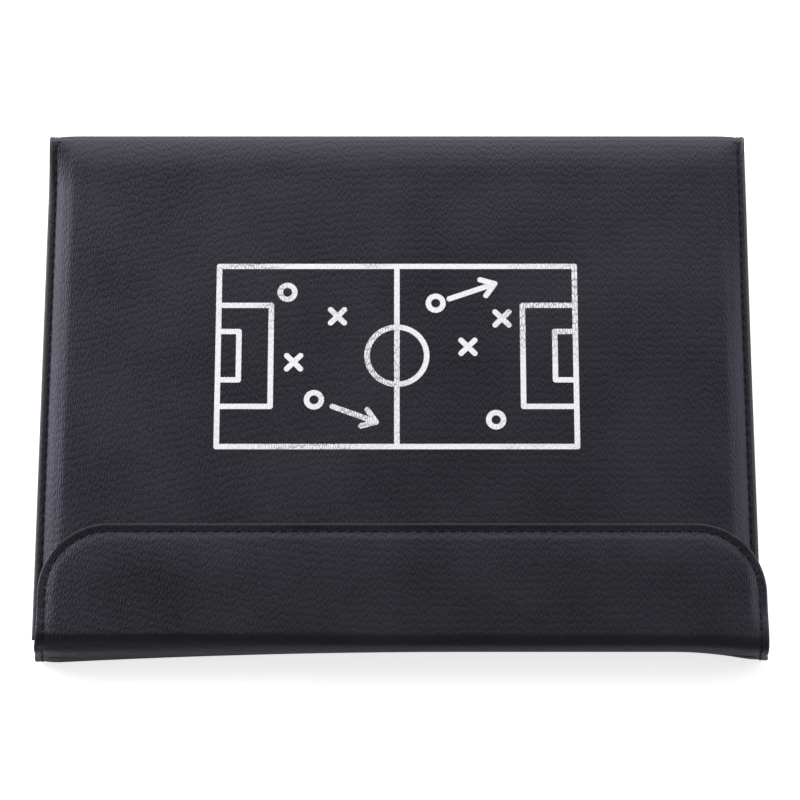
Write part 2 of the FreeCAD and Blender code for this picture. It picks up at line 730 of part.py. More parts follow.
def build_pen_cap():
    """Cap over the neck, with a felt eraser on its closed end."""
    bore = "pen_neck_dia / 2 + pen_clear"
    cap = [
        ("cap_mouth", bore),
        ("cap_mouth", "pen_rad"),
        ("cap_end + cap_round", "pen_rad"),
        ("cap_end", "pen_rad - cap_round"),
        ("cap_end", "0"),
        ("cap_end + cap_end_wall", "0"),
        ("cap_end + cap_end_wall", bore),
    ]
    turned_along_pen("pen_cap", cap, {2: ("cap_end + cap_round", "pen_rad - cap_round")})
    felt = "eraser_dia / 2"
    pad = [
        ("cap_end", "0"),
        ("cap_end", felt),
        ("eraser_round - pen_half", felt),
        ("-pen_half", f"{felt} - eraser_round"),
        ("-pen_half", "0"),
    ]
    turned_along_pen("cap_eraser", pad, {2: ("eraser_round - pen_half", f"{felt} - eraser_round")})


# Magnetic discs: eleven a side, each in a lane of its own, and a ball on the halfway line

LINE_UP = {
    1: (0, "keeper_row"),
    2: (5, "defence_row + wing_step"),
    3: (-5, "defence_row + wing_step"),
    4: (-2, "defence_row"),
    5: (2, "defence_row"),
    6: (-1, "midfield_row"),
    7: (4, "midfield_row + wing_step"),
    8: (1, "midfield_row"),
    9: (-3, "attack_row"),
    10: (3, "attack_row"),
    11: (-4, "midfield_row + wing_step"),
}


def build_disc(label, radius, across, along, level, face_down):
    """A thick disc with a bevelled upper edge."""
    body = new_body(label)
    section = [
        ("0", "0"),
        (radius, "0"),
        (radius, "disc_thick - disc_bevel"),
        (f"{radius} - disc_bevel", "disc_thick"),
        ("0", "disc_thick"),
    ]
    add_turn(body, drawn(body, "XZ_Plane", section), "V_Axis")
    if face_down:
        turn = FreeCAD.Rotation(FreeCAD.Vector(1, 0, 0), 180)
        body.Placement = FreeCAD.Placement(FreeCAD.Vector(), turn)
    place(body, across, along, level)


def build_discs():
    """Home discs lie on the back's pitch, away discs hold to the cover's pitch above them."""
    for number, (lane, row) in LINE_UP.items():
        across, along = f"{lane} * lane_pitch", f"field_near + {row}"
        build_disc(f"home_magnet_{number}", "disc_rad", across, along, "back_face", False)
        build_disc(f"away_magnet_{number}", "disc_rad", across, along, "cover_face", True)
    build_disc("ball_magnet", "(ball_dia / 2)", "0", "field_far - ball_inset", "back_face", False)


def write_sub_parts():
    """Checks every object and sub-part, then writes each sub-part's solid under its label."""
    sheet.clear(WORKING_CELL)
    doc.recompute()
    failed = [item.Name for item in doc.Objects if {"Invalid", "Error"} & set(item.State)]
    failed += [item.Label for item in sub_parts if item.Shape.isNull() or not item.Shape.isValid()]
    if failed:
        raise RuntimeError(f"not built: {failed}")
    os.makedirs("parts", exist_ok=True)
    for item in sub_parts:
        item.Shape.exportStep(f"parts/{item.Label}.step")
        print(f"{item.Label}: {len(item.Shape.Solids)} solid, {item.Shape.Volume:.1f} mm3")


fill_sheet()
build_back_skin()
build_back_layers()
build_far_spine()
build_cover_skin()
build_cover_foam()
build_cover_layers()
build_near_spine()
build_flap_skin()
build_flap_layers()
build_pen_loop()
build_pen()
build_pen_cap()
build_discs()
write_sub_parts()
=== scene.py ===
import json
import bmesh
import bpy
import numpy as np
from mathutils import Matrix, Vector


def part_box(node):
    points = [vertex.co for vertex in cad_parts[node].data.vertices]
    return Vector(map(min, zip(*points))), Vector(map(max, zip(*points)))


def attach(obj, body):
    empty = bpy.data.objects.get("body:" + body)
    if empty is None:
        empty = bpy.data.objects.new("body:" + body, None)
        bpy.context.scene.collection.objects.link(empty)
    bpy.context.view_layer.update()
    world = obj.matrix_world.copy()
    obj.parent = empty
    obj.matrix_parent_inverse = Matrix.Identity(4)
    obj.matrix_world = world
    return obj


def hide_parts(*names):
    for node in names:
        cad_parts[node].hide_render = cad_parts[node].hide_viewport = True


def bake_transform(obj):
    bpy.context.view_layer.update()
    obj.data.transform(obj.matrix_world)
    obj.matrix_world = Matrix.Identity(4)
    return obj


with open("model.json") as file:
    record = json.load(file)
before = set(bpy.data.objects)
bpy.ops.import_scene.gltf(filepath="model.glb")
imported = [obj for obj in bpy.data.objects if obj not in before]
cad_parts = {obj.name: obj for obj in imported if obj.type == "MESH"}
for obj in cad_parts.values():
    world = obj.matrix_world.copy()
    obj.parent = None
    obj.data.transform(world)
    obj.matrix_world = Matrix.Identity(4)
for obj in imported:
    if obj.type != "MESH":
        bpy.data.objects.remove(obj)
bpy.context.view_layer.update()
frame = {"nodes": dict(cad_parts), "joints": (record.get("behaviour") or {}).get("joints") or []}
joints = {joint["name"]: joint for joint in frame["joints"]}

# Studio: the closed folder lies on a pale floor under a dome that is bright beyond the far spine, faint on
# the flap's side and nearly dark above. Soft boxes stand on the far side, the left and, weaker, the right.
# The camera looks steeply down from the flap's side, and sees the dome itself as plain white.


def node(tree, kind, inputs=None, **settings):
    """A node with its settings; each input is a value, or the socket that feeds it."""
    made = tree.nodes.new("ShaderNode" + kind)
    for key, value in settings.items():
        setattr(made, key, value)
    for key, value in (inputs or {}).items():
        if isinstance(value, bpy.types.NodeSocket):
            tree.links.new(value, made.inputs[key])
        else:
            made.inputs[key].default_value = value
    return made


def calc(tree, operation, *values):
    """One step of arithmetic on values or sockets."""
    return node(tree, "Math", dict(enumerate(values)), operation=operation).outputs[0]


def spread(tree, value, low, high, start, end):
    """A value's range from low to high, carried over to start and end in a soft curve."""
    inputs = {"Value": value, "From Min": low, "From Max": high, "To Min": start, "To Max": end}
    return node(tree, "MapRange", inputs, interpolation_type="SMOOTHSTEP").outputs["Result"]


def new_material(name, constants=None):
    """A material with its tree and its Principled shader, whose sockets hold the given constants."""
    material = bpy.data.materials.new(name)
    material.use_nodes = True
    shader = material.node_tree.nodes["Principled BSDF"]
    for key, value in (constants or {}).items():
        shader.inputs[key].default_value = value
    return material, material.node_tree, shader


def link_object(name, data):
    """A mesh, camera, lamp or curve as an object of the scene, at the origin."""
    made = bpy.data.objects.new(name, data)
    bpy.context.scene.collection.objects.link(made)
    return made


scene = bpy.context.scene
scene.view_settings.view_transform = "Standard"

camera_rise = np.radians(74.2)
camera_distance = 1.168
aim = Vector((0.00136, -0.0010, 0.0))
eye = aim + Vector((0, -camera_distance * np.cos(camera_rise), camera_distance * np.sin(camera_rise)))
camera = link_object("camera", bpy.data.cameras.new("camera"))
camera.data.lens = 119.0
camera.location = eye
camera.rotation_euler = (aim - eye).to_track_quat("-Z", "Y").to_euler()
scene.camera = camera

floor_half = 3.0
floor_level = -0.0003
floor_mesh = bpy.data.meshes.new("floor")
floor_signs = ((-1, -1), (1, -1), (1, 1), (-1, 1))
floor_corners = [(x * floor_half, y * floor_half, floor_level) for x, y in floor_signs]
floor_mesh.from_pydata(floor_corners, [], [(0, 1, 2, 3)])
floor = link_object("floor", floor_mesh)
white = (1, 1, 1, 1)
paper_finish = {"Base Color": (0.80, 0.80, 0.81, 1), "Roughness": 0.9, "Specular IOR Level": 0.1}
paper, tree, shader = new_material("pale_floor", {**paper_finish, "Emission Color": white})
floor_glow = 0.72
mirrored_glow = 0.10
rays = node(tree, "LightPath").outputs
mirrored = calc(tree, "MAXIMUM", rays["Is Glossy Ray"], rays["Is Transmission Ray"])
mirrored = calc(tree, "MULTIPLY", mirrored, mirrored_glow)
seen = calc(tree, "MULTIPLY_ADD", rays["Is Camera Ray"], floor_glow, mirrored)
tree.links.new(seen, shader.inputs["Emission Strength"])
floor_mesh.materials.append(paper)

# Strengths of the dome, and between which parts of a direction's Y or Z each one fades
top_light = 0.02
far_light = 1.9
far_fade = (0.19, 0.775)
low_far_share = 0.3
low_far_fade = (0.45, 0.75)
near_light = 0.24
near_fade = (-0.6, 0.0)
side_light = 0.55
side_fade = (0.1, 0.75)
near_side_share = 0.15
near_side_fade = (-0.5, 0.1)
scene.world = bpy.data.worlds.new("studio_dome")
scene.world.use_nodes = True
sky = scene.world.node_tree
way = node(sky, "SeparateXYZ", {0: node(sky, "TexCoord").outputs["Generated"]}).outputs
sides = spread(sky, way["Z"], *side_fade, side_light, 0.0)
sides = calc(sky, "MULTIPLY", sides, spread(sky, way["Y"], *near_side_fade, near_side_share, 1.0))
far_glow = spread(sky, way["Y"], *far_fade, top_light, far_light)
far_glow = calc(sky, "MULTIPLY", far_glow, spread(sky, way["Z"], *low_far_fade, low_far_share, 1.0))
ends = calc(sky, "ADD", far_glow, spread(sky, way["Y"], *near_fade, near_light, 0.0))
glow = calc(sky, "ADD", sides, ends)
seen = node(sky, "LightPath").outputs["Is Camera Ray"]
unseen = calc(sky, "SUBTRACT", 1.0, seen)
glow = calc(sky, "MULTIPLY_ADD", glow, unseen, seen)
sky.links.new(glow, sky.nodes["Background"].inputs["Strength"])
sky.nodes["Background"].inputs["Color"].default_value = white

SOFT_BOXES = {
    "far_soft_box": ((0.0, 1.32, 0.64), (2.4, 1.1), 23.0),
    "left_soft_box": ((-1.15, 0.45, 0.50), (0.7, 1.1), 15.0),
    "right_soft_box": ((1.15, 0.20, 0.60), (0.7, 1.1), 5.0),
}
for name, (place, (width, length), power) in SOFT_BOXES.items():
    lamp = link_object(name, bpy.data.lights.new(name, "AREA"))
    lamp.data.shape = "RECTANGLE"
    lamp.data.size, lamp.data.size_y = width, length
    lamp.data.energy = power
    lamp.location = place
    lamp.rotation_euler = (-Vector(place)).to_track_quat("-Z", "Y").to_euler()

# Front cover's leather: one black grained sheet that rises up the far spine, folds over foam and board, and
# is sewn down round three sides, so that a flat border runs below the padded middle.

cover_low, cover_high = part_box("cover_skin")
spine_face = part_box("top_spine_skin")[1].y
half_width = cover_high.x
skin = 0.0008
stitch_pitch = 0.0048
shoulder_gap = 0.001
crisp_angle = np.radians(50)


def ease(t):
    """A soft step from 0 to 1: three squares less two cubes of t, held to that range."""
    t = np.clip(t, 0, 1)
    return t * t * (3 - 2 * t)


def bend_radius(joint, level):
    """Outer radius of a crease, whose axis lies a share (1 - pi/4) of it inside its sharp corner."""
    return abs(level - joints[joint]["pos_m"][2]) / (1 - np.pi / 4)


class Fold:
    """A wall's section that runs along a spine, turns a quarter circle at a crease and runs along a panel.

    corner is the sharp outer corner as (y, z), and the two ways are the directions of travel. sway, if there
    is one, gives how far a place on the wall has moved along y.
    """

    def __init__(self, corner, spine_way, panel_way, radius, sway=None):
        self.spine_way = np.array(spine_way, float)
        self.panel_way = np.array(panel_way, float)
        self.radius = radius
        self.bend = radius * np.pi / 2
        self.centre = np.array(corner) - radius * self.spine_way + radius * self.panel_way
        self.sway = sway
        self.outward = self.spine_way[1] * self.panel_way[0] > 0

    def at(self, s):
        """Place and outward normal at a distance s along the section, which is 0 where the bend starts.

        The normal turns from the panel's reverse to the spine's way, and the place is the bend's centre plus
        a radius along it, plus what is left of s on either straight run.
        """
        s = np.asarray(s, float)[..., None]
        turn = np.clip(s / self.radius, 0, np.pi / 2)
        normal = np.sin(turn) * self.spine_way - np.cos(turn) * self.panel_way
        runs = np.minimum(s, 0) * self.spine_way + np.maximum(s - self.bend, 0) * self.panel_way
        return self.centre + self.radius * normal + runs, normal

    def points(self, x, s, depth):
        """Points (x, y, z) at a depth inside the outer face."""
        place, normal = self.at(s)
        place = place - np.asarray(depth)[..., None] * normal
        shift = 0 if self.sway is None else self.sway(x, s)
        return np.stack([x, place[..., 0] + shift, place[..., 1]], axis=-1)

    def crease(self):
        """Where the bend starts and ends on the outer face, as points of the frame."""
        return [(0, *self.at(s)[0]) for s in (0.0, self.bend)]


def graded(marks, steps):
    """Numbers from the first mark to the last, each stretch between two marks divided by its own step."""
    runs = zip(marks[:-1], marks[1:], steps)
    parts = [np.linspace(a, b, int(np.ceil((b - a) / step)), endpoint=False) for a, b, step in runs]
    return np.concatenate([*parts, marks[-1:]])


def sewn_border(d, drop, inset, run, rim=0.0, groove=0.0, outer=1.0, inner=1.0):
    """Depth of sewn leather below its padded middle at a distance d from its edge.

    The border lies a drop below the middle and rises on a parabola inside the stitches. A bell-shaped valley
    takes the thread, with a width for either side of it, and a quarter circle rolls the rim.
    """
    rise = np.clip((d - inset - shoulder_gap) / run, 0, 1)
    seam = groove * np.exp(-(((d - inset) / np.where(d < inset, outer, inner)) ** 2))
    curl = rim - np.sqrt(np.maximum(rim**2 - (rim - np.clip(d, 0, rim)) ** 2, 0))
    return drop * (1 - rise) ** 2 + seam + curl


def edge_distance(x, s, half, end, corner):
    """Distance inside an outline with straight sides and an end with two round corners."""
    across = np.abs(x) - half + corner
    along = s - end + corner
    outside = np.hypot(np.maximum(across, 0), np.maximum(along, 0))
    return corner - outside - np.minimum(np.maximum(across, along), 0)


def seam_length(half, start, end, corner, inset):
    """Length of a seam up one side, round two corners and down the other side of a sewn end."""
    return 2 * (half - corner + (corner - inset) * np.pi / 2 + end - corner - start)


def seam_count(x, s, half, start, end, corner, inset):
    """Stitches from a seam's start to the place on it that is nearest to a point.

    Counted from the middle of the end, a seam runs straight across, turns a quarter circle and runs back.
    """
    over, up = np.abs(x) - half + corner, s - end + corner
    turn = np.arctan2(np.maximum(over, 0), np.maximum(up, 0))
    back = np.where(over > 0, np.maximum(-up, 0), 0)
    run = np.minimum(np.abs(x), half - corner) + (corner - inset) * turn + back
    length = seam_length(half, start, end, corner, inset)
    return (np.sign(x) * run / length + 0.5) * np.round(length / stitch_pitch)


def grid_quads(rows, columns):
    """Corners of every cell of a grid whose points are numbered row by row."""
    first = (np.arange(rows - 1)[:, None] * columns + np.arange(columns - 1)).ravel()
    return np.stack([first, first + 1, first + columns + 1, first + columns], axis=1)


def quad_mesh(name, points, quads, chart=None, **marks):
    """A smooth mesh of four-sided faces, with its flat chart as a UV map and other marks as attributes."""
    mesh = bpy.data.meshes.new(name)
    mesh.vertices.add(len(points))
    mesh.vertices.foreach_set("co", points.astype(np.float32).ravel())
    mesh.loops.add(quads.size)
    mesh.loops.foreach_set("vertex_index", quads.astype(np.int32).ravel())
    mesh.polygons.add(len(quads))
    mesh.polygons.foreach_set("loop_start", np.arange(0, quads.size, 4, dtype=np.int32))
    mesh.update(calc_edges=True)
    if chart is not None:
        uv = mesh.uv_layers.new(name="flat")
        uv.uv.foreach_set("vector", chart[quads.ravel()].astype(np.float32).ravel())
    for label, values in marks.items():
        kept = mesh.attributes.new(label, "FLOAT", "POINT")
        kept.data.foreach_set("value", values.astype(np.float32).ravel())
    mesh.polygons.foreach_set("use_smooth", np.ones(len(quads), bool))
    mesh.set_sharp_from_angle(angle=crisp_angle)
    return mesh


def closed_sheet(name, outer, inner, chart, **marks):
    """A sheet with a thickness: an outer and an inner grid of points, joined all round their border."""
    rows, columns = outer.shape[:2]
    count = rows * columns
    index = np.arange(count).reshape(rows, columns)
    border = np.concatenate([index[0, :-1], index[:-1, -1], index[-1, :0:-1], index[:0:-1, 0]])
    following = np.roll(border, -1)
    top = grid_quads(rows, columns)
    wall = np.stack([following, border, border + count, following + count], axis=1)
    points = np.concatenate([outer.reshape(-1, 3), inner.reshape(-1, 3)])
    quads = np.concatenate([top, top[:, ::-1] + count, wall])
    marks = {label: np.tile(values.ravel(), 2) for label, values in marks.items()}
    return quad_mesh(name, points, quads, np.tile(chart.reshape(-1, 2), (2, 1)), **marks)


def folded_sheet(name, fold, x, s, outer_depth, inner_depth, **marks):
    """A closed sheet on a fold, between two depths inside its outer face, with (x, s) as its flat chart."""
    way = slice(None, None, 1 if fold.outward else -1)
    layers = [fold.points(x, s, outer_depth), fold.points(x, s, inner_depth), np.stack([x, s], axis=-1)]
    marks = {label: values[:, way] for label, values in marks.items()}
    return link_object(name, closed_sheet(name, *[layer[:, way] for layer in layers], **marks))


def new_group(name, inputs, outputs):
    """An empty shader group; inputs and outputs give each socket's name and kind."""
    group = bpy.data.node_groups.new(name, "ShaderNodeTree")
    for label, kind in inputs.items():
        group.interface.new_socket(label, in_out="INPUT", socket_type="NodeSocket" + kind)
    for label, kind in outputs.items():
        group.interface.new_socket(label, in_out="OUTPUT", socket_type="NodeSocket" + kind)
    return group, group.nodes.new("NodeGroupInput").outputs, group.nodes.new("NodeGroupOutput").inputs


def vector_calc(tree, operation, *values):
    """One step of arithmetic on vectors."""
    made = node(tree, "VectorMath", dict(enumerate(values)), operation=operation)
    scalar = operation in ("LENGTH", "DOT_PRODUCT")
    return made.outputs["Value" if scalar else "Vector"]


def make_grain_group():
    """Pebbled leather: warped cells, flat on top with narrow valleys between them, and a fine crinkle.

    All sizes are in cells. The height is a share of the pebbles' plus a share of the crinkle's.
    """
    warp_scale = 0.8
    warp_reach = 0.45
    scatter = 0.8
    valley_width = 0.40
    crinkle_scale = 2.6
    crinkle_share = 0.25
    pebble_share = 0.9
    group, given, result = new_group(
        "leather_grain",
        {"Place": "Vector", "Cell": "Float", "Stretch": "Float"},
        {"Height": "Float", "Valley": "Float"},
    )
    wide = calc(group, "DIVIDE", 1.0, given["Cell"])
    tall = calc(group, "DIVIDE", wide, given["Stretch"])
    scale = node(group, "CombineXYZ", {"X": wide, "Y": tall}).outputs[0]
    place = vector_calc(group, "MULTIPLY", given["Place"], scale)
    noise = {"Vector": place, "Scale": warp_scale, "Detail": 2.0}
    warp = node(group, "TexNoise", noise, noise_dimensions="2D").outputs["Color"]
    warp = vector_calc(group, "SUBTRACT", warp, (0.5, 0.5, 0))
    warp = vector_calc(group, "MULTIPLY", warp, (warp_reach, warp_reach, 0))
    warped = vector_calc(group, "ADD", place, warp)
    cells = {"Vector": warped, "Scale": 1.0, "Randomness": scatter}
    cells = node(group, "TexVoronoi", cells, voronoi_dimensions="2D", feature="DISTANCE_TO_EDGE")
    pebble = spread(group, cells.outputs["Distance"], 0.0, valley_width, 0.0, 1.0)
    crinkle = {"Vector": warped, "Scale": crinkle_scale, "Detail": 3.0}
    crinkle = node(group, "TexNoise", crinkle, noise_dimensions="2D").outputs["Fac"]
    height = calc(group, "MULTIPLY", pebble, pebble_share)
    height = calc(group, "MULTIPLY_ADD", crinkle, crinkle_share, height)
    group.links.new(height, result["Height"])
    group.links.new(calc(group, "SUBTRACT", 1.0, pebble), result["Valley"])
    return group


grain_group = make_grain_group()


def make_mark_groups():
    """Printed marks, each a mask from the distance to its line: a stroke, a ring and a box.

    A stroke's distance is to the nearest point between its ends. A ring's is to its circle, of which the part
    on one side of a line can be left out. A box's is to its outline.
    """
    ink_edge = 0.0001
    groups = {}

    def begin(name, **sockets):
        """A mark's group, with a place on the surface and a width of line besides its own sockets."""
        return new_group(name, {"Place": "Vector", "Line": "Float", **sockets}, {"Mask": "Float"})

    def finish(group, given, result, distance):
        """Full ink up to half the line's width from its middle, with a soft edge."""
        half = calc(group, "MULTIPLY", given["Line"], 0.5)
        past = calc(group, "SUBTRACT", distance, half)
        group.links.new(spread(group, past, -ink_edge, ink_edge, 1.0, 0.0), result["Mask"])
        groups[group.name] = group

    group, given, result = begin("stroke", From="Vector", To="Vector")
    reach = vector_calc(group, "SUBTRACT", given["To"], given["From"])
    here = vector_calc(group, "SUBTRACT", given["Place"], given["From"])
    ahead = vector_calc(group, "DOT_PRODUCT", here, reach)
    share = calc(group, "DIVIDE", ahead, vector_calc(group, "DOT_PRODUCT", reach, reach))
    share = node(group, "Clamp", {"Value": share}).outputs[0]
    share = node(group, "CombineXYZ", {"X": share, "Y": share}).outputs[0]
    foot = vector_calc(group, "MULTIPLY", reach, share)
    finish(group, given, result, vector_calc(group, "LENGTH", vector_calc(group, "SUBTRACT", here, foot)))

    group, given, result = begin("ring", Centre="Vector", Radius="Float", Side="Vector", Beyond="Float")
    here = vector_calc(group, "SUBTRACT", given["Place"], given["Centre"])
    away = calc(group, "SUBTRACT", vector_calc(group, "LENGTH", here), given["Radius"])
    hidden = vector_calc(group, "DOT_PRODUCT", here, given["Side"])
    hidden = calc(group, "LESS_THAN", hidden, given["Beyond"])
    finish(group, given, result, calc(group, "ADD", calc(group, "ABSOLUTE", away), hidden))

    group, given, result = begin("box", Centre="Vector", Half="Vector")
    here = vector_calc(group, "ABSOLUTE", vector_calc(group, "SUBTRACT", given["Place"], given["Centre"]))
    over = vector_calc(group, "SUBTRACT", here, given["Half"])
    outside = vector_calc(group, "LENGTH", vector_calc(group, "MAXIMUM", over, (0, 0, 0)))
    parts = node(group, "SeparateXYZ", {0: over}).outputs
    inside = calc(group, "MINIMUM", calc(group, "MAXIMUM", parts["X"], parts["Y"]), 0.0)
    finish(group, given, result, calc(group, "ABSOLUTE", calc(group, "ADD", outside, inside)))
    return groups


mark_groups = make_mark_groups()


def printed(tree, place, line, marks):
    """The strongest of several printed marks, each given as its kind and its sizes."""
    mask = 0.0
    for kind, sizes in marks:
        inputs = {"Place": place, "Line": line, **sizes}
        mark = node(tree, "Group", inputs, node_tree=mark_groups[kind]).outputs["Mask"]
        mask = calc(tree, "MAXIMUM", mask, mark)
    return mask


def blended(tree, share, first, second):
    """Two colours mixed by a share; a Mix node's colours are its inputs 6 and 7 and its output 2."""
    sockets = {"Factor": share}
    for place, colour in ((6, first), (7, second)):
        sockets[place] = colour if isinstance(colour, bpy.types.NodeSocket) else (*colour, 1)
    return node(tree, "Mix", sockets, data_type="RGBA").outputs[2]


def feed_shader(tree, shader, colour, roughness, height, strength, distance):
    """Links a shader's colour and roughness, and a relief of a given strength and depth from a height."""
    relief = node(tree, "Bump", {"Height": height, "Strength": strength, "Distance": distance}).outputs[0]
    for key, socket in (("Base Color", colour), ("Roughness", roughness), ("Normal", relief)):
        tree.links.new(socket, shader.inputs[key])


# Leather's look: colours and sheen, its grain, patches and valleys, rims partly worn and partly a painted
# highlight, stitch holes darkened by painted shade, and printing ink
leather_sheen = {"Specular IOR Level": 0.45, "Specular Tint": (0.78, 0.73, 1.0, 1)}
leather_dark = (0.0048, 0.0046, 0.0049)
leather_pale = (0.0120, 0.0116, 0.0124)
grain_cell = 0.00115
grain_stretch = 3.0
grain_lean = np.radians(10)
upright_from = 0.04
patch_scale = 22.0
valley_shade = -0.40
least_shade = 0.12
valley_rough = 0.06
patch_rough = 0.16
least_rough = 0.31
grain_strength = 0.65
grain_depth = 0.00012
# Reach and softness of the pale rim colour, which is partly wear and partly a painted highlight on the rolled
# edge
worn_and_lit_softness = 0.0004
worn_and_lit_share = 0.9
# Stitch holes: their near-black colour is painted shade in the holes
hole_radii = (0.0005, 0.0010)
hole_shade = (0.0008, 0.0008, 0.0010)
hole_rough = 0.5
hole_height = -0.8
ink_white = (0.80, 0.80, 0.81)
ink_rough = 0.15
ink_wear = (0.40, 0.60)
least_ink = 0.45


def leather_material(name, dark, pale, cell, rim=None, worn_lit_reach=0.0, marks=(), line=0.0):
    """Grained leather: pebbles paler than their valleys, rims partly worn and partly a painted highlight,
    stitch holes darkened by painted shade, patchy gloss and a print.

    The grain leans at the left side and stands upright from a place right of the middle on. Stitch holes lie
    at whole numbers of the seam's count.
    """
    material, tree, shader = new_material(name, leather_sheen)
    place = node(tree, "UVMap", uv_map="flat").outputs[0]
    across = node(tree, "SeparateXYZ", {0: place}).outputs["X"]
    lean = spread(tree, across, -half_width, upright_from, grain_lean, 0.0)
    laid = node(tree, "VectorRotate", {"Vector": place, "Angle": lean}, rotation_type="Z_AXIS").outputs[0]
    grain = {"Place": laid, "Cell": cell, "Stretch": grain_stretch}
    grain = node(tree, "Group", grain, node_tree=grain_group).outputs
    patches = {"Vector": place, "Scale": patch_scale, "Detail": 3.0}
    patches = node(tree, "TexNoise", patches, noise_dimensions="2D").outputs["Fac"]
    shade = calc(tree, "ADD", patches, least_shade)
    shade = calc(tree, "MULTIPLY_ADD", grain["Valley"], valley_shade, shade)
    colour = blended(tree, node(tree, "Clamp", {"Value": shade}).outputs[0], dark, pale)
    rough = calc(tree, "MULTIPLY_ADD", patches, patch_rough, least_rough)
    rough = calc(tree, "MULTIPLY_ADD", grain["Valley"], valley_rough, rough)
    height = grain["Height"]
    if rim:
        # Pale rim: partly worn leather, partly a painted highlight where the rolled edge catches light
        edge = node(tree, "Attribute", attribute_name="edge_distance").outputs["Fac"]
        worn_and_lit_rim = spread(tree, edge, worn_lit_reach - worn_and_lit_softness, worn_lit_reach + worn_and_lit_softness, worn_and_lit_share, 0.0)
        colour = blended(tree, worn_and_lit_rim, colour, rim)
        aside = node(tree, "Attribute", attribute_name="seam_offset").outputs["Fac"]
        count = node(tree, "Attribute", attribute_name="seam_count").outputs["Fac"]
        nearest = calc(tree, "SUBTRACT", calc(tree, "FRACT", calc(tree, "ADD", count, 0.5)), 0.5)
        along = calc(tree, "MULTIPLY", nearest, stitch_pitch)
        away = node(tree, "CombineXYZ", {"X": along, "Y": aside}).outputs[0]
        # Near-black stitch holes: painted shade where the thread dips into the leather
        hole = spread(tree, vector_calc(tree, "LENGTH", away), *hole_radii, 1.0, 0.0)
        colour = blended(tree, hole, colour, hole_shade)
        rough = calc(tree, "MULTIPLY_ADD", hole, hole_rough, rough)
        height = calc(tree, "MULTIPLY_ADD", hole, hole_height, height)
    if marks:
        ink = printed(tree, place, line, marks)
        wear = calc(tree, "MULTIPLY", grain["Valley"], patches)
        ink = calc(tree, "MULTIPLY", ink, spread(tree, wear, *ink_wear, 1.0, least_ink))
        colour = blended(tree, ink, colour, ink_white)
        rough = calc(tree, "MULTIPLY_ADD", ink, ink_rough, rough)
    feed_shader(tree, shader, colour, rough, height, grain_strength, grain_depth)
    return material


front_bend = bend_radius("cover_fold", cover_high.z)
back_bend = bend_radius("far_spine_fold", 0.0)
front_fold = Fold((spine_face, cover_high.z), (0, 1), (-1, 0), front_bend)
spine_middle = (cover_high.z - front_bend + back_bend) / 2
front_start = spine_middle - (cover_high.z - front_bend)
front_end = front_fold.bend + (spine_face - front_bend - cover_low.y)

# Sewn border: how deep it lies on the cover and the spines, where it is stitched, its corner and its shoulder
cover_drop = 0.0035
spine_drop = 0.0006
cover_inset = 0.0029
cover_corner = 0.003
cover_shoulder = 0.009

# Crown past the far bend, the proud border beside it, and how soon the border gets deep at the left and right
crown_drop = 0.0012
crown_run = 0.014
crown_edge = 0.002
proud_rise = 0.0010
proud_place = 0.7 * front_fold.bend
proud_reach = (0.003, 0.007)
drop_runs = (0.022, 0.110)

# Pillow, unevenness and two dents of the padded panel, which begin past the bend and inside the border
panel_run = 0.02
border_run = 0.006
pillow_sink = 0.0005
pillow_start = 0.008
pillow_fade = 0.014
unevenness = 0.00006
COVER_WAVES = ((75, 48, 1.1), (33, -88, 0.4))
COVER_SWELL = (21, 0, 2.0)
dent_depth = 0.00016
dent_places = (-0.057, -0.001)
dent_past = 0.014
dent_size = (0.011, 0.007)

COVER_TRIM = {"rim": 0.0006, "groove": 0.0002, "outer": 0.0006, "inner": 0.0008}
COVER_EDGE = (half_width, front_end, cover_corner)
COVER_SEAM = (half_width, front_start, front_end, cover_corner, cover_inset)


def front_drop(x, s):
    """Depth of the cover's border: slight on the far spine, proud at its bend and growing to its full depth.

    The proud place is a bell that falls off slowly on the cover, and the depth grows sooner on the left.
    """
    past = s - proud_place
    proud = proud_rise * np.exp(-((past / np.where(past < 0, *proud_reach)) ** 2))
    run = np.interp(x, (-half_width, half_width), drop_runs)
    return spine_drop - proud + (cover_drop - spine_drop) * ease((s - front_fold.bend) / run)


def far_crown(s):
    """How far the leather lies below the padding's height near the far bend.

    It sinks on a cubic through the bend, and then climbs on a parabola that levels out on the cover.
    """
    t = np.clip(s / front_fold.bend, 0, 1)
    slope = -2 * front_fold.bend / crown_run
    sinking = ease(t) + slope * (t**3 - t**2)
    climbing = (1 - np.clip((s - front_fold.bend) / crown_run, 0, 1)) ** 2
    return crown_drop * np.where(s < front_fold.bend, sinking, climbing)


def ripples(x, s, *waves):
    """A product of sine waves, each given by its rates along x and along s and by its phase."""
    return np.prod([np.sin(over * x + up * s + phase) for over, up, phase in waves], axis=0)


def front_depth(x, s, stitched=True):
    """Depth of the cover's leather: its sewn border, a pillow that sinks towards it, and soft unevenness.

    The pillow sinks less and less with the distance from the border. Past the far bend the crown climbs for
    some millimetres, and two shallow bell-shaped dents lie below it.
    """
    d = np.maximum(edge_distance(x, s, *COVER_EDGE), 0)
    trim = COVER_TRIM if stitched else {}
    past = s - front_fold.bend
    inside = ease(past / panel_run) * np.clip((d - cover_inset) / border_run, 0, 1)
    pillow = pillow_sink * np.exp(-np.maximum(d - pillow_start, 0) / pillow_fade)
    uneven = unevenness * (2 + ripples(x, s, *COVER_WAVES) + ripples(x, s, COVER_SWELL))
    below = ((past - dent_past) / dent_size[1]) ** 2
    dents = sum(np.exp(-(((x - place) / dent_size[0]) ** 2) - below) for place in dent_places)
    border = sewn_border(d, front_drop(x, s), cover_inset, cover_shoulder, **trim)
    crown = far_crown(s) * np.clip(d / crown_edge, 0, 1)
    return border + crown + inside * (pillow + uneven + dent_depth * dents)


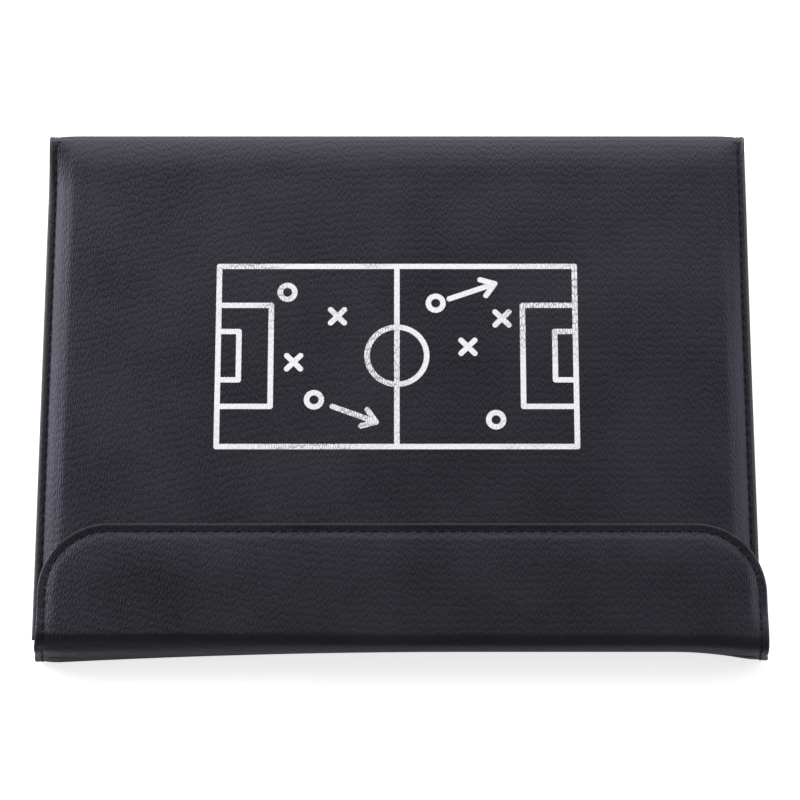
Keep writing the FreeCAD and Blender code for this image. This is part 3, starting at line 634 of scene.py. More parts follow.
# Width of the closely meshed band at an edge or a bend, and the steps of the mesh
band = 0.012
spine_step = 0.0008
fine_step = 0.0004
bend_step = 0.001
wide_step = 0.0028


def across_width(band, fine, wide):
    """Shares of the half width from side to side, closest together in a band along each side."""
    marks = [-1, -1 + band / half_width, 1 - band / half_width, 1]
    return graded(marks, np.array([fine, wide, fine]) / half_width)


across = across_width(band, fine_step, wide_step)
front_marks = [front_start, 0, front_fold.bend, front_fold.bend + band, front_end - band, front_end]
front_rows = graded(front_marks, [spine_step, fine_step, bend_step, wide_step, fine_step])
x, s = np.meshgrid(across * half_width, front_rows)
edge = np.maximum(edge_distance(x, s, *COVER_EDGE), 0)
front_leather = folded_sheet(
    "front_leather", front_fold, x, s, front_depth(x, s), front_depth(x, s, stitched=False) + skin,
    edge_distance=edge, seam_offset=edge - cover_inset, seam_count=seam_count(x, s, *COVER_SEAM)
)


def front_place(y):
    """Distance along the cover's section at a place on its flat panel."""
    return front_fold.bend + spine_face - front_bend - y


# The cover's print: a plain plan of a pitch with a few play marks, in white ink
print_y = 0.0135
print_middle = front_place(print_y)
uncut = -1.0


def on_print(over, up):
    """A place on the print, from its middle, as a point of the leather's flat chart."""
    return (over, print_middle - up, 0)


def print_box(middle, half):
    """A box about a place on the print."""
    return ("box", {"Centre": on_print(*middle), "Half": (*half, 0)})


def print_ring(middle, radius):
    """A whole ring about a place on the print."""
    return ("ring", {"Centre": on_print(*middle), "Radius": radius, "Beyond": uncut})


def print_stroke(start, end):
    """A straight stroke between two places on the print."""
    return ("stroke", {"From": on_print(*start), "To": on_print(*end)})


PLAN_HALF = (0.078, 0.041)
PLAYERS = [(-0.048, 0.029), (-0.036, -0.020), (0.017, 0.024), (0.043, -0.029)]
RIVALS = [(-0.026, 0.018), (-0.045, -0.003), (0.031, 0.004), (0.046, 0.017)]
RUNS = [((-0.028, -0.023), (-0.009, -0.030)), ((0.023, 0.026), (0.043, 0.033))]
GOAL_BOXES = [(0.0115, 0.023), (0.0045, 0.011)]
centre_ring = 0.013
player_ring = 0.0032
cross_arm = 0.0030
head_length = 0.0055
head_spread = 0.7
cover_marks = [
    print_box((0, 0), PLAN_HALF),
    print_stroke((0, -PLAN_HALF[1]), (0, PLAN_HALF[1])),
    print_ring((0, 0), centre_ring),
]
for side in (-1, 1):
    for deep, wide in GOAL_BOXES:
        cover_marks.append(print_box((side * (PLAN_HALF[0] - deep), 0), (deep, wide)))
for spot in PLAYERS:
    cover_marks.append(print_ring(spot, player_ring))
for spot in RIVALS:
    for arm in ((cross_arm, -cross_arm), (cross_arm, cross_arm)):
        cover_marks.append(print_stroke(np.subtract(spot, arm), np.add(spot, arm)))
for start, end in RUNS:
    way = np.subtract(end, start)
    way = way / np.linalg.norm(way)
    cover_marks.append(print_stroke(start, end))
    for turn in (-1, 1):
        barb = np.array(end) - head_length * (way + turn * head_spread * np.array([-way[1], way[0]]))
        cover_marks.append(print_stroke(barb, end))

# Rim colours, partly wear and partly a painted highlight on the rolled rim; the cover's is far paler than its
# leather
cover_rim_wear_and_highlight = (0.060, 0.054, 0.052)
cover_worn_and_lit_reach = 0.0013
flap_rim_wear_and_highlight = (0.020, 0.019, 0.020)
flap_worn_and_lit_reach = 0.0009
print_line = 0.0024
black = (leather_dark, leather_pale, grain_cell)
leather = leather_material("black_leather", *black, flap_rim_wear_and_highlight, flap_worn_and_lit_reach)
printed_leather = leather_material("printed_leather", *black, cover_rim_wear_and_highlight, cover_worn_and_lit_reach, cover_marks, print_line)
front_leather.data.materials.append(printed_leather)
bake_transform(front_leather)
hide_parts("cover_skin", "top_spine_skin")

# Padding: a thin sheet of open-cell foam between the cover's board and its leather. It is cut short of the
# sewn border, lies flat on the board, and is squeezed at its edges by the leather that is drawn down over it.

foam_low, foam_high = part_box("cover_foam")
foam_base = cover_high.z - foam_low.z
foam_gap = 0.00005
foam_margin = 0.0068
foam_half = min(foam_high.x, half_width - foam_margin)
foam_end = min(front_place(foam_low.y), front_end - foam_margin)
foam_across = np.linspace(-foam_half, foam_half, num=90)
foam_rows = np.linspace(front_place(foam_high.y), foam_end, num=70)
x, s = np.meshgrid(foam_across, foam_rows)
crown = np.minimum(front_depth(x, s, stitched=False) + skin, foam_base) - foam_gap
cover_padding = folded_sheet("cover_padding", front_fold, x, s, crown, np.full_like(x, foam_base))

speckle_range = (0.3, 0.7)
speckle_strength = 0.5


def plain_material(name, colour, pale, scale, roughness, relief, stretch=(1, 1, 1), constants=None):
    """A finish with fine speckle: two colours and a low relief from one noise, stretched if it has a lay."""
    material, tree, shader = new_material(name, constants)
    place = node(tree, "TexCoord").outputs["Object"]
    place = node(tree, "Mapping", {"Vector": place, "Scale": stretch}).outputs[0]
    speckle = node(tree, "TexNoise", {"Vector": place, "Scale": scale, "Detail": 5.0}).outputs["Fac"]
    rough = spread(tree, speckle, *speckle_range, *roughness)
    colour = blended(tree, speckle, colour, pale)
    feed_shader(tree, shader, colour, rough, speckle, speckle_strength, relief)
    return material


foam = plain_material(
    "foam", (0.62, 0.60, 0.52), (0.78, 0.76, 0.68),
    scale=900, roughness=(0.8, 1.0), relief=0.0004
)
cover_padding.data.materials.append(foam)
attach(cover_padding, "front_cover")
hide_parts("cover_foam")

# Flap's leather: the same black leather carried up the near spine and over the cover, its rim turned under
# and sewn, with two large round corners. Its ends stand out a little further than its middle at the foot.

flap_low, flap_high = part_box("flap_skin")
flap_overhang = 0.0005
flap_middle = (flap_low.x + flap_high.x - flap_overhang) / 2
flap_half = (flap_high.x - flap_low.x + flap_overhang) / 2
flap_corner = 0.030
flap_inset = 0.0032
flap_shoulder = 0.018
flap_hem = 0.006
hem_edge = 0.0004
hem_start = 0.002
near_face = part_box("bottom_spine_skin")[0].y
flap_bend = bend_radius("flap_fold", flap_high.z)
near_top = flap_high.z - flap_bend
near_height = near_top - back_bend
near_middle = (near_top + back_bend) / 2
FLAP_TRIM = {"rim": 0.0004, "groove": 0.00035, "outer": 0.0017, "inner": 0.0026}
FLAP_WAVES = ((52, 90, 0.0), (31, -70, 1.0))

# Near spine: where its left and right ends begin to flare, over what run and how far, and how far its middle
# is drawn in at the foot and at the flap's bend
left_start = 0.030
left_run = 0.182
left_flare = 0.0049
right_start = 0.118
right_run = 0.038
right_flare = 0.0043
foot_draw = 0.0032
bend_draw = 0.0014
bend_flare = 0.0010
sway_fade = 0.006

# Droop of the flap's left and right sides, flare and lean of the spine's sides at the bend and at the foot,
# and the bend's form, slack at the left and crisp at the right
droop_runs = (0.009, 0.0088)
droop_falls = (0.0009, 0.0015)
droop_start = 0.012
bend_share = 0.75
side_flare = (0.0004, 0.00125)
side_lean = (-0.0004, 0.00015)
bend_slack = -0.0008
bend_crisp = 0.0006
crisp_start = -0.13
crisp_run = 0.15


def end_flare(x):
    """Shares by which the near spine's left and right ends stand out: squares of the way to each end."""
    left = np.clip((left_start - x) / left_run, 0, 1)
    right = np.clip((x - right_start) / right_run, 0, 1)
    return left**2, right**2


def middle_share(x):
    """1 along the drawn-in middle of the near spine, and 0 at its two ends."""
    left, right = end_flare(x)
    return (1 - left) * (1 - right)


def foot_arch(x):
    """How far the near spine's foot lies inside its straight line: the middle drawn in, the ends flared."""
    left, right = end_flare(x)
    return foot_draw - left_flare * left - right_flare * right


def near_wall_sway(x, share):
    """How far the near spine lies inside its straight line.

    It changes evenly with the share of the way from the flap's bend to the foot.
    """
    at_bend = bend_draw * middle_share(x) - bend_flare * end_flare(x)[1]
    return at_bend + share * (foot_arch(x) - at_bend)


def flap_sway(x, s):
    """The near spine's arch, fading past the flap's bend."""
    fading = 1 - ease(s / (flap_fold.bend + sway_fade))
    return near_wall_sway(x, np.clip(-s / near_height, 0, 1)) * fading


flap_fold = Fold((near_face, flap_high.z), (0, 1), (1, 0), flap_bend, flap_sway)
flap_start = near_middle - near_top
flap_end = flap_fold.bend + flap_high.y - (near_face + flap_bend)
FLAP_EDGE = (flap_half, flap_end, flap_corner)
FLAP_SEAM = (flap_half, flap_start, flap_end, flap_corner, flap_inset)


def flap_droop(x, s):
    """How far the flap's two sides hang down beside the cover's padding, the right one further."""
    run = np.where(x < flap_middle, *droop_runs)
    fall = np.where(x < flap_middle, *droop_falls)
    aside = np.abs(x - flap_middle) - flap_half + run
    return fall * ease(aside / run) * ease((s - flap_fold.bend) / droop_start)


def down_spine(s, at_bend, at_foot):
    """A soft step round the flap's bend, plus another one from there to the foot of the near spine."""
    round_bend = ease((flap_fold.bend - s) / (bend_share * flap_fold.bend))
    return at_bend * round_bend + at_foot * ease(-s / near_height)


def flap_flare(s):
    """How far the near spine's sides stand out: more round the flap's bend, most at the foot."""
    return down_spine(s, *side_flare)


def flap_lean(s):
    """How far the near spine's middle lies aside: to the left round the flap's bend, less at the foot."""
    return down_spine(s, *side_lean)


def flap_bulge(x, s):
    """How far the flap's bend stands out from a circle: a squared sine, slack left and crisp right."""
    swell = np.sin(np.pi * np.clip(s / flap_fold.bend, 0, 1)) ** 2
    return swell * (bend_slack + (bend_crisp - bend_slack) * ease((x - crisp_start) / crisp_run))


def flap_edge(x, s):
    """Distance inside the flap's outline, which widens down the near spine."""
    middle = x - flap_middle - flap_lean(s)
    return np.maximum(edge_distance(middle, s, *FLAP_EDGE) + flap_flare(s), 0)


def flap_reach(s):
    """Half width of the flap at a place along it: flared on the spine, straight, then round to the tip."""
    past = np.clip(s - flap_end + flap_corner, 0, flap_corner)
    return flap_half - flap_corner + np.sqrt(flap_corner**2 - past**2) + flap_flare(s)


def flap_depth(x, s, stitched=True):
    """Depth of the flap's leather: its sewn rim, the droop of its sides and soft unevenness."""
    d = flap_edge(x, s)
    trim = FLAP_TRIM if stitched else {}
    on_flap = ease((s - flap_fold.bend) / panel_run) * np.clip((d - flap_inset) / border_run, 0, 1)
    uneven = unevenness * (1 + ripples(x, s, *FLAP_WAVES))
    border = sewn_border(d, spine_drop, flap_inset, flap_shoulder, **trim)
    return border + flap_droop(x, s) + on_flap * uneven - flap_bulge(x, s)


def with_tip(rows, radius, count):
    """Rows of the flap with those of its round tip, closer and closer together towards its end."""
    turn = np.linspace(0, np.pi / 2, num=count)
    return np.concatenate([rows[:-1], flap_end - flap_corner + radius * np.sin(turn)])


flap_bend_step = 0.0005
flap_step = 0.0012
flap_marks = [flap_start, 0, flap_fold.bend, flap_end - flap_corner]
flap_rows = with_tip(graded(flap_marks, [spine_step, flap_bend_step, flap_step]), flap_corner, count=56)
u, s = np.meshgrid(across, flap_rows)
x = flap_middle + flap_lean(s) + u * flap_reach(s)
edge = flap_edge(x, s)
hem = (1 - ease((edge - flap_hem) / hem_edge)) * ease((s - flap_fold.bend) / hem_start)
plain = flap_depth(x, s, stitched=False) + skin
turned_under = 2 * skin + flap_droop(x, s)
flap_leather = folded_sheet(
    "flap_leather", flap_fold, x, s, flap_depth(x, s), plain + hem * np.maximum(turned_under - plain, 0),
    edge_distance=edge, seam_offset=edge - flap_inset, seam_count=seam_count(x - flap_middle, s, *FLAP_SEAM)
)
flap_leather.data.materials.append(leather)
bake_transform(flap_leather)
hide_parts("flap_skin", "bottom_spine_skin")

# Back's leather: the same black leather under the back's board, turned up at both sides to a sewn border and
# carried up the two spines. It is made as a far and a near half that meet along the middle.

back_drop = 0.0020
back_shoulder = 0.008
back_border_run = 0.012
back_reach = spine_face - back_bend
arch_fade = 0.020
flap_width_fade = 0.025
shallow_groove = 0.8
shallow_reach = 0.004


def near_sway(x, s):
    """The near spine's arch, fading along the back."""
    along_back = 1 - ease((s - near_fold.bend) / arch_fade)
    return near_wall_sway(x, np.clip(1 + s / near_height, 0, 1)) * along_back


far_fold = Fold((spine_face, 0.0), (0, -1), (-1, 0), back_bend)
near_fold = Fold((near_face, 0.0), (0, -1), (1, 0), back_bend, near_sway)
BACK_FOLDS = {"far": far_fold, "near": near_fold}
SPINE_NODES = {"far": "top_spine", "near": "bottom_spine"}


def back_share(fold, s):
    """0 on the near spine, which has the flap's width and sewing, and 1 on the back and the far spine."""
    return np.ones_like(s) if fold is far_fold else ease(s / (fold.bend + flap_width_fade))


def back_sides(fold, s):
    """Middle and half width of the back's leather, which go over to the flap's on the near spine."""
    if fold is far_fold:
        return np.zeros_like(s), np.full_like(s, half_width)
    share = back_share(fold, s)
    from_bend = -near_height - s
    middle = (flap_middle + flap_lean(from_bend)) * (1 - share)
    return middle, flap_half + (half_width - flap_half) * share + flap_flare(from_bend) * (1 - share)


def back_inset(fold, s):
    """Distance of the back's sewing from its edge."""
    return flap_inset + (cover_inset - flap_inset) * back_share(fold, s)


def back_border(fold, s):
    """Depth of the back's border: slight on the spine, growing softly to its full depth along the back."""
    return spine_drop + (back_drop - spine_drop) * ease((s - fold.bend) / back_border_run)


def back_depth(fold, x, s, stitched=True):
    """Depth of the back's leather: its sewn border, whose groove is shallow round the crease."""
    middle, half = back_sides(fold, s)
    d = np.maximum(half - np.abs(x - middle), 0)
    trim = {}
    if stitched:
        share = back_share(fold, s)
        trim = {key: size + (COVER_TRIM[key] - size) * share for key, size in FLAP_TRIM.items()}
        at_crease = np.exp(-(((s - fold.bend / 2) / shallow_reach) ** 2))
        trim["groove"] = trim["groove"] * (1 - shallow_groove * at_crease)
    return sewn_border(d, back_border(fold, s), back_inset(fold, s), back_shoulder, **trim)


back_step = 0.0035
back_start = {"far": back_bend - spine_middle, "near": back_bend - near_middle}
for side, fold in BACK_FOLDS.items():
    marks = [back_start[side], 0, fold.bend, fold.bend + band, fold.bend + back_reach]
    rows = graded(marks, [spine_step, fine_step, bend_step, back_step])
    u, s = np.meshgrid(across, rows)
    middle, half = back_sides(fold, s)
    x = middle + u * half
    outer = back_depth(fold, x, s)
    inner = back_depth(fold, x, s, stitched=False) + skin
    edge = half - np.abs(x - middle)
    count = (s - back_start[side]) / stitch_pitch
    piece = folded_sheet(
        f"back_leather_{side}", fold, x, s, outer, inner,
        edge_distance=edge, seam_offset=edge - back_inset(fold, s), seam_count=count
    )
    piece.data.materials.append(leather)
    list(fold.crease())
    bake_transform(piece)
    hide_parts("back_skin", SPINE_NODES[side] + "_skin")

# Sewing: black polyester thread in a lockstitch round the cover, the spines, the back and the flap, each
# stitch lying in the groove with both ends pulled down through the leather.

thread_radius = 0.00022
stitch_length = 0.0036
stitch_rings = 6
stitch_sides = 6
thread_lift = 0.75
thread_dip = 1.7
thread_taper = 0.5
thread_material = plain_material(
    "black_thread", (0.003, 0.003, 0.003), (0.008, 0.008, 0.009),
    scale=4000, roughness=(0.7, 0.9), relief=0.0001,
    constants={"Specular IOR Level": 0.15}
)


def round_seam(half, start, end, corner, inset):
    """Places and ways of stitches along the seam that seam_count counts, between its whole numbers."""
    flat, radius = half - corner, corner - inset
    length = seam_length(half, start, end, corner, inset)
    stitches = int(np.round(length / stitch_pitch))
    along = ((np.arange(stitches) + 0.5) / stitches - 0.5) * length
    run = np.abs(along)
    turn = np.clip((run - flat) / radius, 0, np.pi / 2)
    down = np.maximum(run - flat - radius * np.pi / 2, 0)
    x = np.sign(along) * (np.minimum(run, flat) + radius * np.sin(turn))
    s = end - inset - radius * (1 - np.cos(turn)) - down
    return np.stack([x, s], axis=1), np.stack([np.sign(along) * np.cos(turn), -np.sin(turn)], axis=1)


def sew(name, fold, depth, places, ways):
    """Beads of thread on a fold: rings of points about a line that dips into the leather at both ends.

    Towards a stitch's ends the dip grows as the fourth power and the taper as the sixth. Each end is closed
    by two four-sided faces over its six points.
    """
    tau = np.linspace(-1, 1, stitch_rings)
    chart = places[:, None] + ways[:, None] * (tau * stitch_length / 2)[None, :, None]
    x, s = chart[..., 0], chart[..., 1]
    lift = thread_radius * (thread_lift - thread_dip * tau**4)
    line = fold.points(x, s, depth(x, s) - lift)
    normal = np.pad(fold.at(s)[1], ((0, 0), (0, 0), (1, 0)))
    along = np.gradient(line, axis=1)
    along /= np.linalg.norm(along, axis=-1, keepdims=True)
    aside = np.cross(along, normal)
    turn = np.linspace(0, 2 * np.pi, stitch_sides, endpoint=False)
    thick = (thread_radius * (1 - thread_taper * tau**6))[None, :, None, None]
    ring = np.cos(turn)[:, None] * aside[:, :, None] + np.sin(turn)[:, None] * normal[:, :, None]
    points = line[:, :, None] + thick * ring
    first = np.arange(stitch_rings - 1)[:, None] * stitch_sides + np.arange(stitch_sides)
    beside = np.arange(stitch_rings - 1)[:, None] * stitch_sides + np.roll(np.arange(stitch_sides), -1)
    tube = np.stack([first, first + stitch_sides, beside + stitch_sides, beside], axis=-1).reshape(-1, 4)
    ends = np.array([[0, 1, 2, 3], [0, 3, 4, 5]])
    last = ends[:, ::-1] + (stitch_rings - 1) * stitch_sides
    stitch = np.concatenate([tube, ends, last])
    starts = np.arange(len(places)) * stitch_rings * stitch_sides
    quads = (starts[:, None, None] + stitch).reshape(-1, 4)
    thread = link_object(name, quad_mesh(name, points.reshape(-1, 3), quads))
    thread.data.materials.append(thread_material)
    return thread


front_thread = sew("front_thread", front_fold, front_depth, *round_seam(*COVER_SEAM))
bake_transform(front_thread)
places, ways = round_seam(*FLAP_SEAM)
places[:, 0] += np.sign(places[:, 0]) * flap_flare(places[:, 1]) + flap_middle + flap_lean(places[:, 1])
flap_thread = sew("flap_thread", flap_fold, flap_depth, places, ways)
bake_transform(flap_thread)
for side, fold in BACK_FOLDS.items():
    stitches = int((fold.bend + back_reach - back_start[side]) / stitch_pitch)
    s = back_start[side] + (np.arange(stitches) + 0.5) * stitch_pitch
    middle, half = back_sides(fold, s)
    reach = half - back_inset(fold, s)
    places = np.concatenate([np.stack([middle + sign * reach, s], axis=1) for sign in (-1, 1)])
    ways = np.tile([0.0, 1.0], (len(places), 1))
    piece = sew(f"back_thread_{side}", fold, lambda x, s, fold=fold: back_depth(fold, x, s), places, ways)
    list(fold.crease())
    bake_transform(piece)

# Linings: thin black leather on the inside of the boards, pressed down into each crease, so that the folder
# opens on soft gutters, and pinched against the outer leather along the sewn sides.

lining = 0.0005
lining_trim = 0.0006
gutter = 0.0010
front_gutter = 0.0016
gutter_lead = 0.0004
gutter_run = 0.0018
pinch_gap = 0.0005
pinch_run = 0.0045
flap_pinch_end = 0.006
board_depth = cover_high.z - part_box("cover_lining")[1].z
back_board_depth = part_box("back_lining")[0].z
near_board_depth = flap_high.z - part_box("flap_lining")[1].z
crease_margin = 0.001
lining_steps = [0.001, 0.0003, 0.002, 0.005]
flap_lining_step = 0.002
inner_band = 0.010
inner_fine = 0.001
inner_wide = 0.005
lining_material = leather_material("lining_leather", (0.008, 0.008, 0.009), (0.017, 0.017, 0.019), 0.0007)


def lined_depth(fold, s, spine, crease, panel):
    """Depth of a lining along a fold: over the spine's board, into the crease and over the panel's board."""
    into = ease((s + gutter_lead) / gutter_run)
    out = ease((s - fold.bend + gutter_run - gutter_lead) / gutter_run)
    return spine + (crease - spine) * into + (panel - crease) * out


def lining_pinch(edge):
    """How far a lining is drawn to the leather: wholly at the sewn side, and not where the board begins."""
    return 1 - ease((edge + lining_trim - cover_inset - pinch_gap) / pinch_run)


def lining_rows(fold, start, end):
    """Distances along a lined fold, closest together at its crease."""
    marks = [start, -crease_margin, fold.bend + crease_margin, fold.bend + band, end]
    return graded(marks, lining_steps)


def add_lining(name, fold, x, s, depth, stands_for):
    """A lining sheet at a depth inside the leather, bent between two bodies."""
    piece = folded_sheet(name, fold, x, s, depth, depth + lining)
    piece.data.materials.append(lining_material)
    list(fold.crease())
    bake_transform(piece)
    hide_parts(*stands_for)


inner_across = across_width(inner_band, inner_fine, inner_wide)
rows = lining_rows(front_fold, front_start, front_end - lining_trim)
x, s = np.meshgrid(inner_across * (half_width - lining_trim), rows)
edge = half_width - lining_trim - np.abs(x)
free = lined_depth(front_fold, s, back_board_depth, front_gutter, board_depth)
depth = free + lining_pinch(edge) * (front_drop(x, s) + skin - free)
add_lining("cover_lining_sheet", front_fold, x, s, depth,
           ("cover_lining", "top_spine_lining"))

for side, fold in BACK_FOLDS.items():
    u, s = np.meshgrid(inner_across, lining_rows(fold, back_start[side], fold.bend + back_reach))
    middle, half = back_sides(fold, s)
    x = middle + u * (half - lining_trim)
    edge = half - lining_trim - np.abs(x - middle)
    if side == "far":
        free = lined_depth(fold, s, back_board_depth, gutter, back_board_depth)
    else:
        free = lined_depth(fold, s, near_board_depth, back_board_depth, back_board_depth)
    depth = free + lining_pinch(edge) * (back_border(fold, s) + skin - free)
    add_lining(f"back_lining_{side}", fold, x, s, depth,
               ("back_lining", SPINE_NODES[side] + "_lining"))

flap_marks = [flap_start, flap_fold.bend + crease_margin, flap_end - flap_corner]
rows = with_tip(graded(flap_marks, [spine_step, flap_lining_step]), flap_corner - lining_trim, count=24)
u, s = np.meshgrid(inner_across, rows)
reach = flap_reach(s + lining_trim * (s > flap_end - flap_corner)) - lining_trim
x = flap_middle + flap_lean(s) + u * reach
edge = np.maximum(flap_edge(x, s) - lining_trim, 0)
free = near_board_depth + flap_droop(x, s)
on_spine = 1 - ease((s - flap_fold.bend) / flap_pinch_end)
depth = free + lining_pinch(edge) * on_spine * (spine_drop + skin - free)
add_lining("flap_lining_sheet", flap_fold, x, s, depth,
           ("flap_lining", "bottom_spine_lining"))

# Stiffeners, boards, steel and magnet: grey millboard in the panels and the far spine, flexible plastic in
# the near spine and the flap, steel sheets glued behind the pitch, and a magnetic rubber strip in the flap
# with its steel keeper under the cover's leather.


def finish_nodes(names, material):
    """Gives carried-over pieces their finish."""
    for name in names:
        mesh = frame["nodes"][name].data
        mesh.materials.clear()
        mesh.materials.append(material)


millboard = plain_material(
    "millboard", (0.30, 0.27, 0.23), (0.52, 0.48, 0.42),
    scale=1500, roughness=(0.75, 0.95), relief=0.0002
)
flexible_plastic = plain_material(
    "flexible_plastic", (0.030, 0.030, 0.032), (0.050, 0.050, 0.054),
    scale=600, roughness=(0.4, 0.6), relief=0.00005
)
rolled_steel = plain_material(
    "rolled_steel", (0.50, 0.51, 0.52), (0.66, 0.67, 0.68),
    scale=400, roughness=(0.25, 0.42), relief=0.00002,
    stretch=(40, 1, 1), constants={"Metallic": 1.0}
)
magnetic_rubber = plain_material(
    "magnetic_rubber", (0.016, 0.014, 0.013), (0.034, 0.031, 0.029),
    scale=2500, roughness=(0.6, 0.8), relief=0.00005
)
finish_nodes(["back_board", "cover_board", "top_spine_strip"], millboard)
finish_nodes(["back_steel_sheet", "cover_steel_sheet", "cover_keeper_strip"], rolled_steel)
finish_nodes(["flap_stiffener"], flexible_plastic)
finish_nodes(["flap_magnet_strip"], magnetic_rubber)

strip_low, strip_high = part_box("bottom_spine_strip")
strip_gap = 0.00005
strip_rows = np.linspace(back_bend - strip_high.z, back_bend - strip_low.z, num=12)
x, s = np.meshgrid(np.linspace(strip_low.x, strip_high.x, num=70), strip_rows)
outer = np.full_like(x, skin + strip_gap)
inner = np.full_like(x, near_board_depth - strip_gap)
near_stiffener = folded_sheet("near_spine_stiffener", near_fold, x, s, outer, inner)
near_stiffener.data.materials.append(flexible_plastic)
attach(near_stiffener, "near_spine")
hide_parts("bottom_spine_strip")

# Pitch films: a printed, wipe-clean green film on each panel, half a pitch to each, mown in bands and lined
# in white. Each is glued on its steel sheet. A real pitch's sizes in metres set the lines, with the halfway
# line at the far spine.

film_low, film_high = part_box("back_field_film")
pitch_line = 0.0013
goal_margin = 0.008
spot_radius = 0.0004
half_length = 52.5
touch_line = 34
PENALTY_AREA = (20.16, 16.5)
GOAL_AREA = (9.16, 5.5)
GOAL = (3.66, -1.8)
penalty_spot = 11
circle_radius = 9.15
mown_bands = 8
metre = (film_high.y - film_low.y - goal_margin) / half_length
goal_line = film_high.y - half_length * metre
band_depth = half_length * metre / mown_bands


def on_middle(up):
    """A place on the middle of a half pitch, at a distance in metres of the real one from its goal line."""
    return (0, goal_line + up * metre, 0)


def pitch_box(reach, depth):
    """A box against the goal line, as far to either side of its middle as it reaches."""
    return ("box", {"Centre": on_middle(depth / 2), "Half": (reach * metre, abs(depth) / 2 * metre, 0)})


pitch_marks = [pitch_box(*sizes) for sizes in ((touch_line, half_length), PENALTY_AREA, GOAL_AREA, GOAL)]
arc_start = (PENALTY_AREA[1] - penalty_spot) * metre
for up, side, beyond in ((penalty_spot, (0, 1, 0), arc_start), (half_length, (0, 0, 0), uncut)):
    circle = {"Centre": on_middle(up), "Radius": circle_radius * metre, "Side": side, "Beyond": beyond}
    pitch_marks.append(("ring", circle))
    pitch_marks.append(("ring", {"Centre": on_middle(up), "Radius": spot_radius, "Beyond": uncut}))

mown_greens = ((0.030, 0.215, 0.062), (0.052, 0.285, 0.088))
turf_green = (0.018, 0.150, 0.040)
turf_scale = 700.0
turf_range = (0.35, 0.65)
turf_share = 0.30
line_white = (0.82, 0.83, 0.82)
smear_scale = 18.0
film_gloss = (0.26, 0.42)


def film_material():
    """Green film: mown bands across the pitch, fine turf speckle, white lines and a clear gloss."""
    material, tree, shader = new_material("pitch_film", {"Specular IOR Level": 0.25})
    place = node(tree, "TexCoord").outputs["Object"]
    place = vector_calc(tree, "MULTIPLY", place, (1, 1, 0))
    up = node(tree, "SeparateXYZ", {0: place}).outputs["Y"]
    count = calc(tree, "DIVIDE", calc(tree, "SUBTRACT", up, goal_line), 2 * band_depth)
    mown = calc(tree, "GREATER_THAN", calc(tree, "FRACT", count), 0.5)
    turf = node(tree, "TexNoise", {"Vector": place, "Scale": turf_scale, "Detail": 4.0}).outputs["Fac"]
    green = blended(tree, mown, *mown_greens)
    green = blended(tree, spread(tree, turf, *turf_range, 0.0, turf_share), green, turf_green)
    lines = printed(tree, place, pitch_line, pitch_marks)
    colour = blended(tree, lines, green, line_white)
    smear = node(tree, "TexNoise", {"Vector": place, "Scale": smear_scale, "Detail": 3.0}).outputs["Fac"]
    rough = spread(tree, smear, *speckle_range, *film_gloss)
    feed_shader(tree, shader, colour, rough, smear, strength=0.15, distance=0.0002)
    return material


finish_nodes(["back_field_film", "cover_field_film"], film_material())

# Pen loop: a band of woven black elastic with thin selvages. It is laid once round the pen, and its two ends
# are sewn flat to the back's lining.

loop_low, loop_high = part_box("pen_loop")
loop_middle = (loop_low.x + loop_high.x) / 2
loop_band = 0.0007
solid_band = 0.0008
loop_radius = (loop_high.z - loop_low.z - solid_band) / 2
girth = 2 * np.pi * loop_radius
tab = (loop_high.x - loop_low.x) / 2
selvage_thinning = 0.7
selvage_power = 10
cord_pitch = 0.0010
pick_pitch = 0.0006
cord_share = 0.5
pick_share = 0.35
weave_range = (-0.8, 0.8)
tab_step = 0.001
round_step = 0.0005
elastic_dark = (0.006, 0.006, 0.007)
elastic_pale = (0.030, 0.030, 0.033)
elastic_gloss = (0.85, 0.6)


def loop_line(run):
    """Middle line and normal of the elastic: a flat tab, once round the pen, and a second tab."""
    turn = np.clip(run - tab, 0, girth) / loop_radius
    flat = np.minimum(run - tab, 0) + np.maximum(run - tab - girth, 0)
    normal = np.stack([np.sin(turn), -np.cos(turn)], axis=-1)
    foot = np.array([loop_middle, loop_low.z + loop_band / 2 + loop_radius])
    return foot + loop_radius * normal + np.stack([flat, np.zeros_like(flat)], axis=-1), normal


run = graded([0, tab, tab + girth, 2 * tab + girth], [tab_step, round_step, tab_step])
y, run = np.meshgrid(np.linspace(loop_low.y, loop_high.y, num=33), run)
line, normal = loop_line(run)
selvage = (2 * (y - loop_low.y) / (loop_high.y - loop_low.y) - 1) ** selvage_power
half_thick = (loop_band / 2 * (1 - selvage_thinning * selvage))[..., None]
layers = []
for side in (1, -1):
    place = line + side * half_thick * normal
    layers.append(np.stack([place[..., 0], y, place[..., 1]], axis=-1))
elastic_loop = link_object("elastic_loop", closed_sheet("elastic_loop", *layers, np.stack([y, run], axis=-1)))


def elastic_material():
    """Woven elastic: cords along the band, crossed by fine picks of thread."""
    material, tree, shader = new_material("woven_elastic")
    place = node(tree, "SeparateXYZ", {0: node(tree, "UVMap", uv_map="flat").outputs[0]}).outputs
    cords = calc(tree, "SINE", calc(tree, "MULTIPLY", place["X"], 2 * np.pi / cord_pitch))
    picks = calc(tree, "SINE", calc(tree, "MULTIPLY", place["Y"], 2 * np.pi / pick_pitch))
    crossed = calc(tree, "MULTIPLY", cords, picks)
    weave = calc(tree, "MULTIPLY_ADD", crossed, pick_share, calc(tree, "MULTIPLY", cords, cord_share))
    share = spread(tree, weave, *weave_range, 0.0, 1.0)
    colour = blended(tree, share, elastic_dark, elastic_pale)
    rough = spread(tree, weave, *weave_range, *elastic_gloss)
    feed_shader(tree, shader, colour, rough, share, strength=0.8, distance=0.0002)
    return material


elastic_loop.data.materials.append(elastic_material())
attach(elastic_loop, "back_panel")
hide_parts("pen_loop")

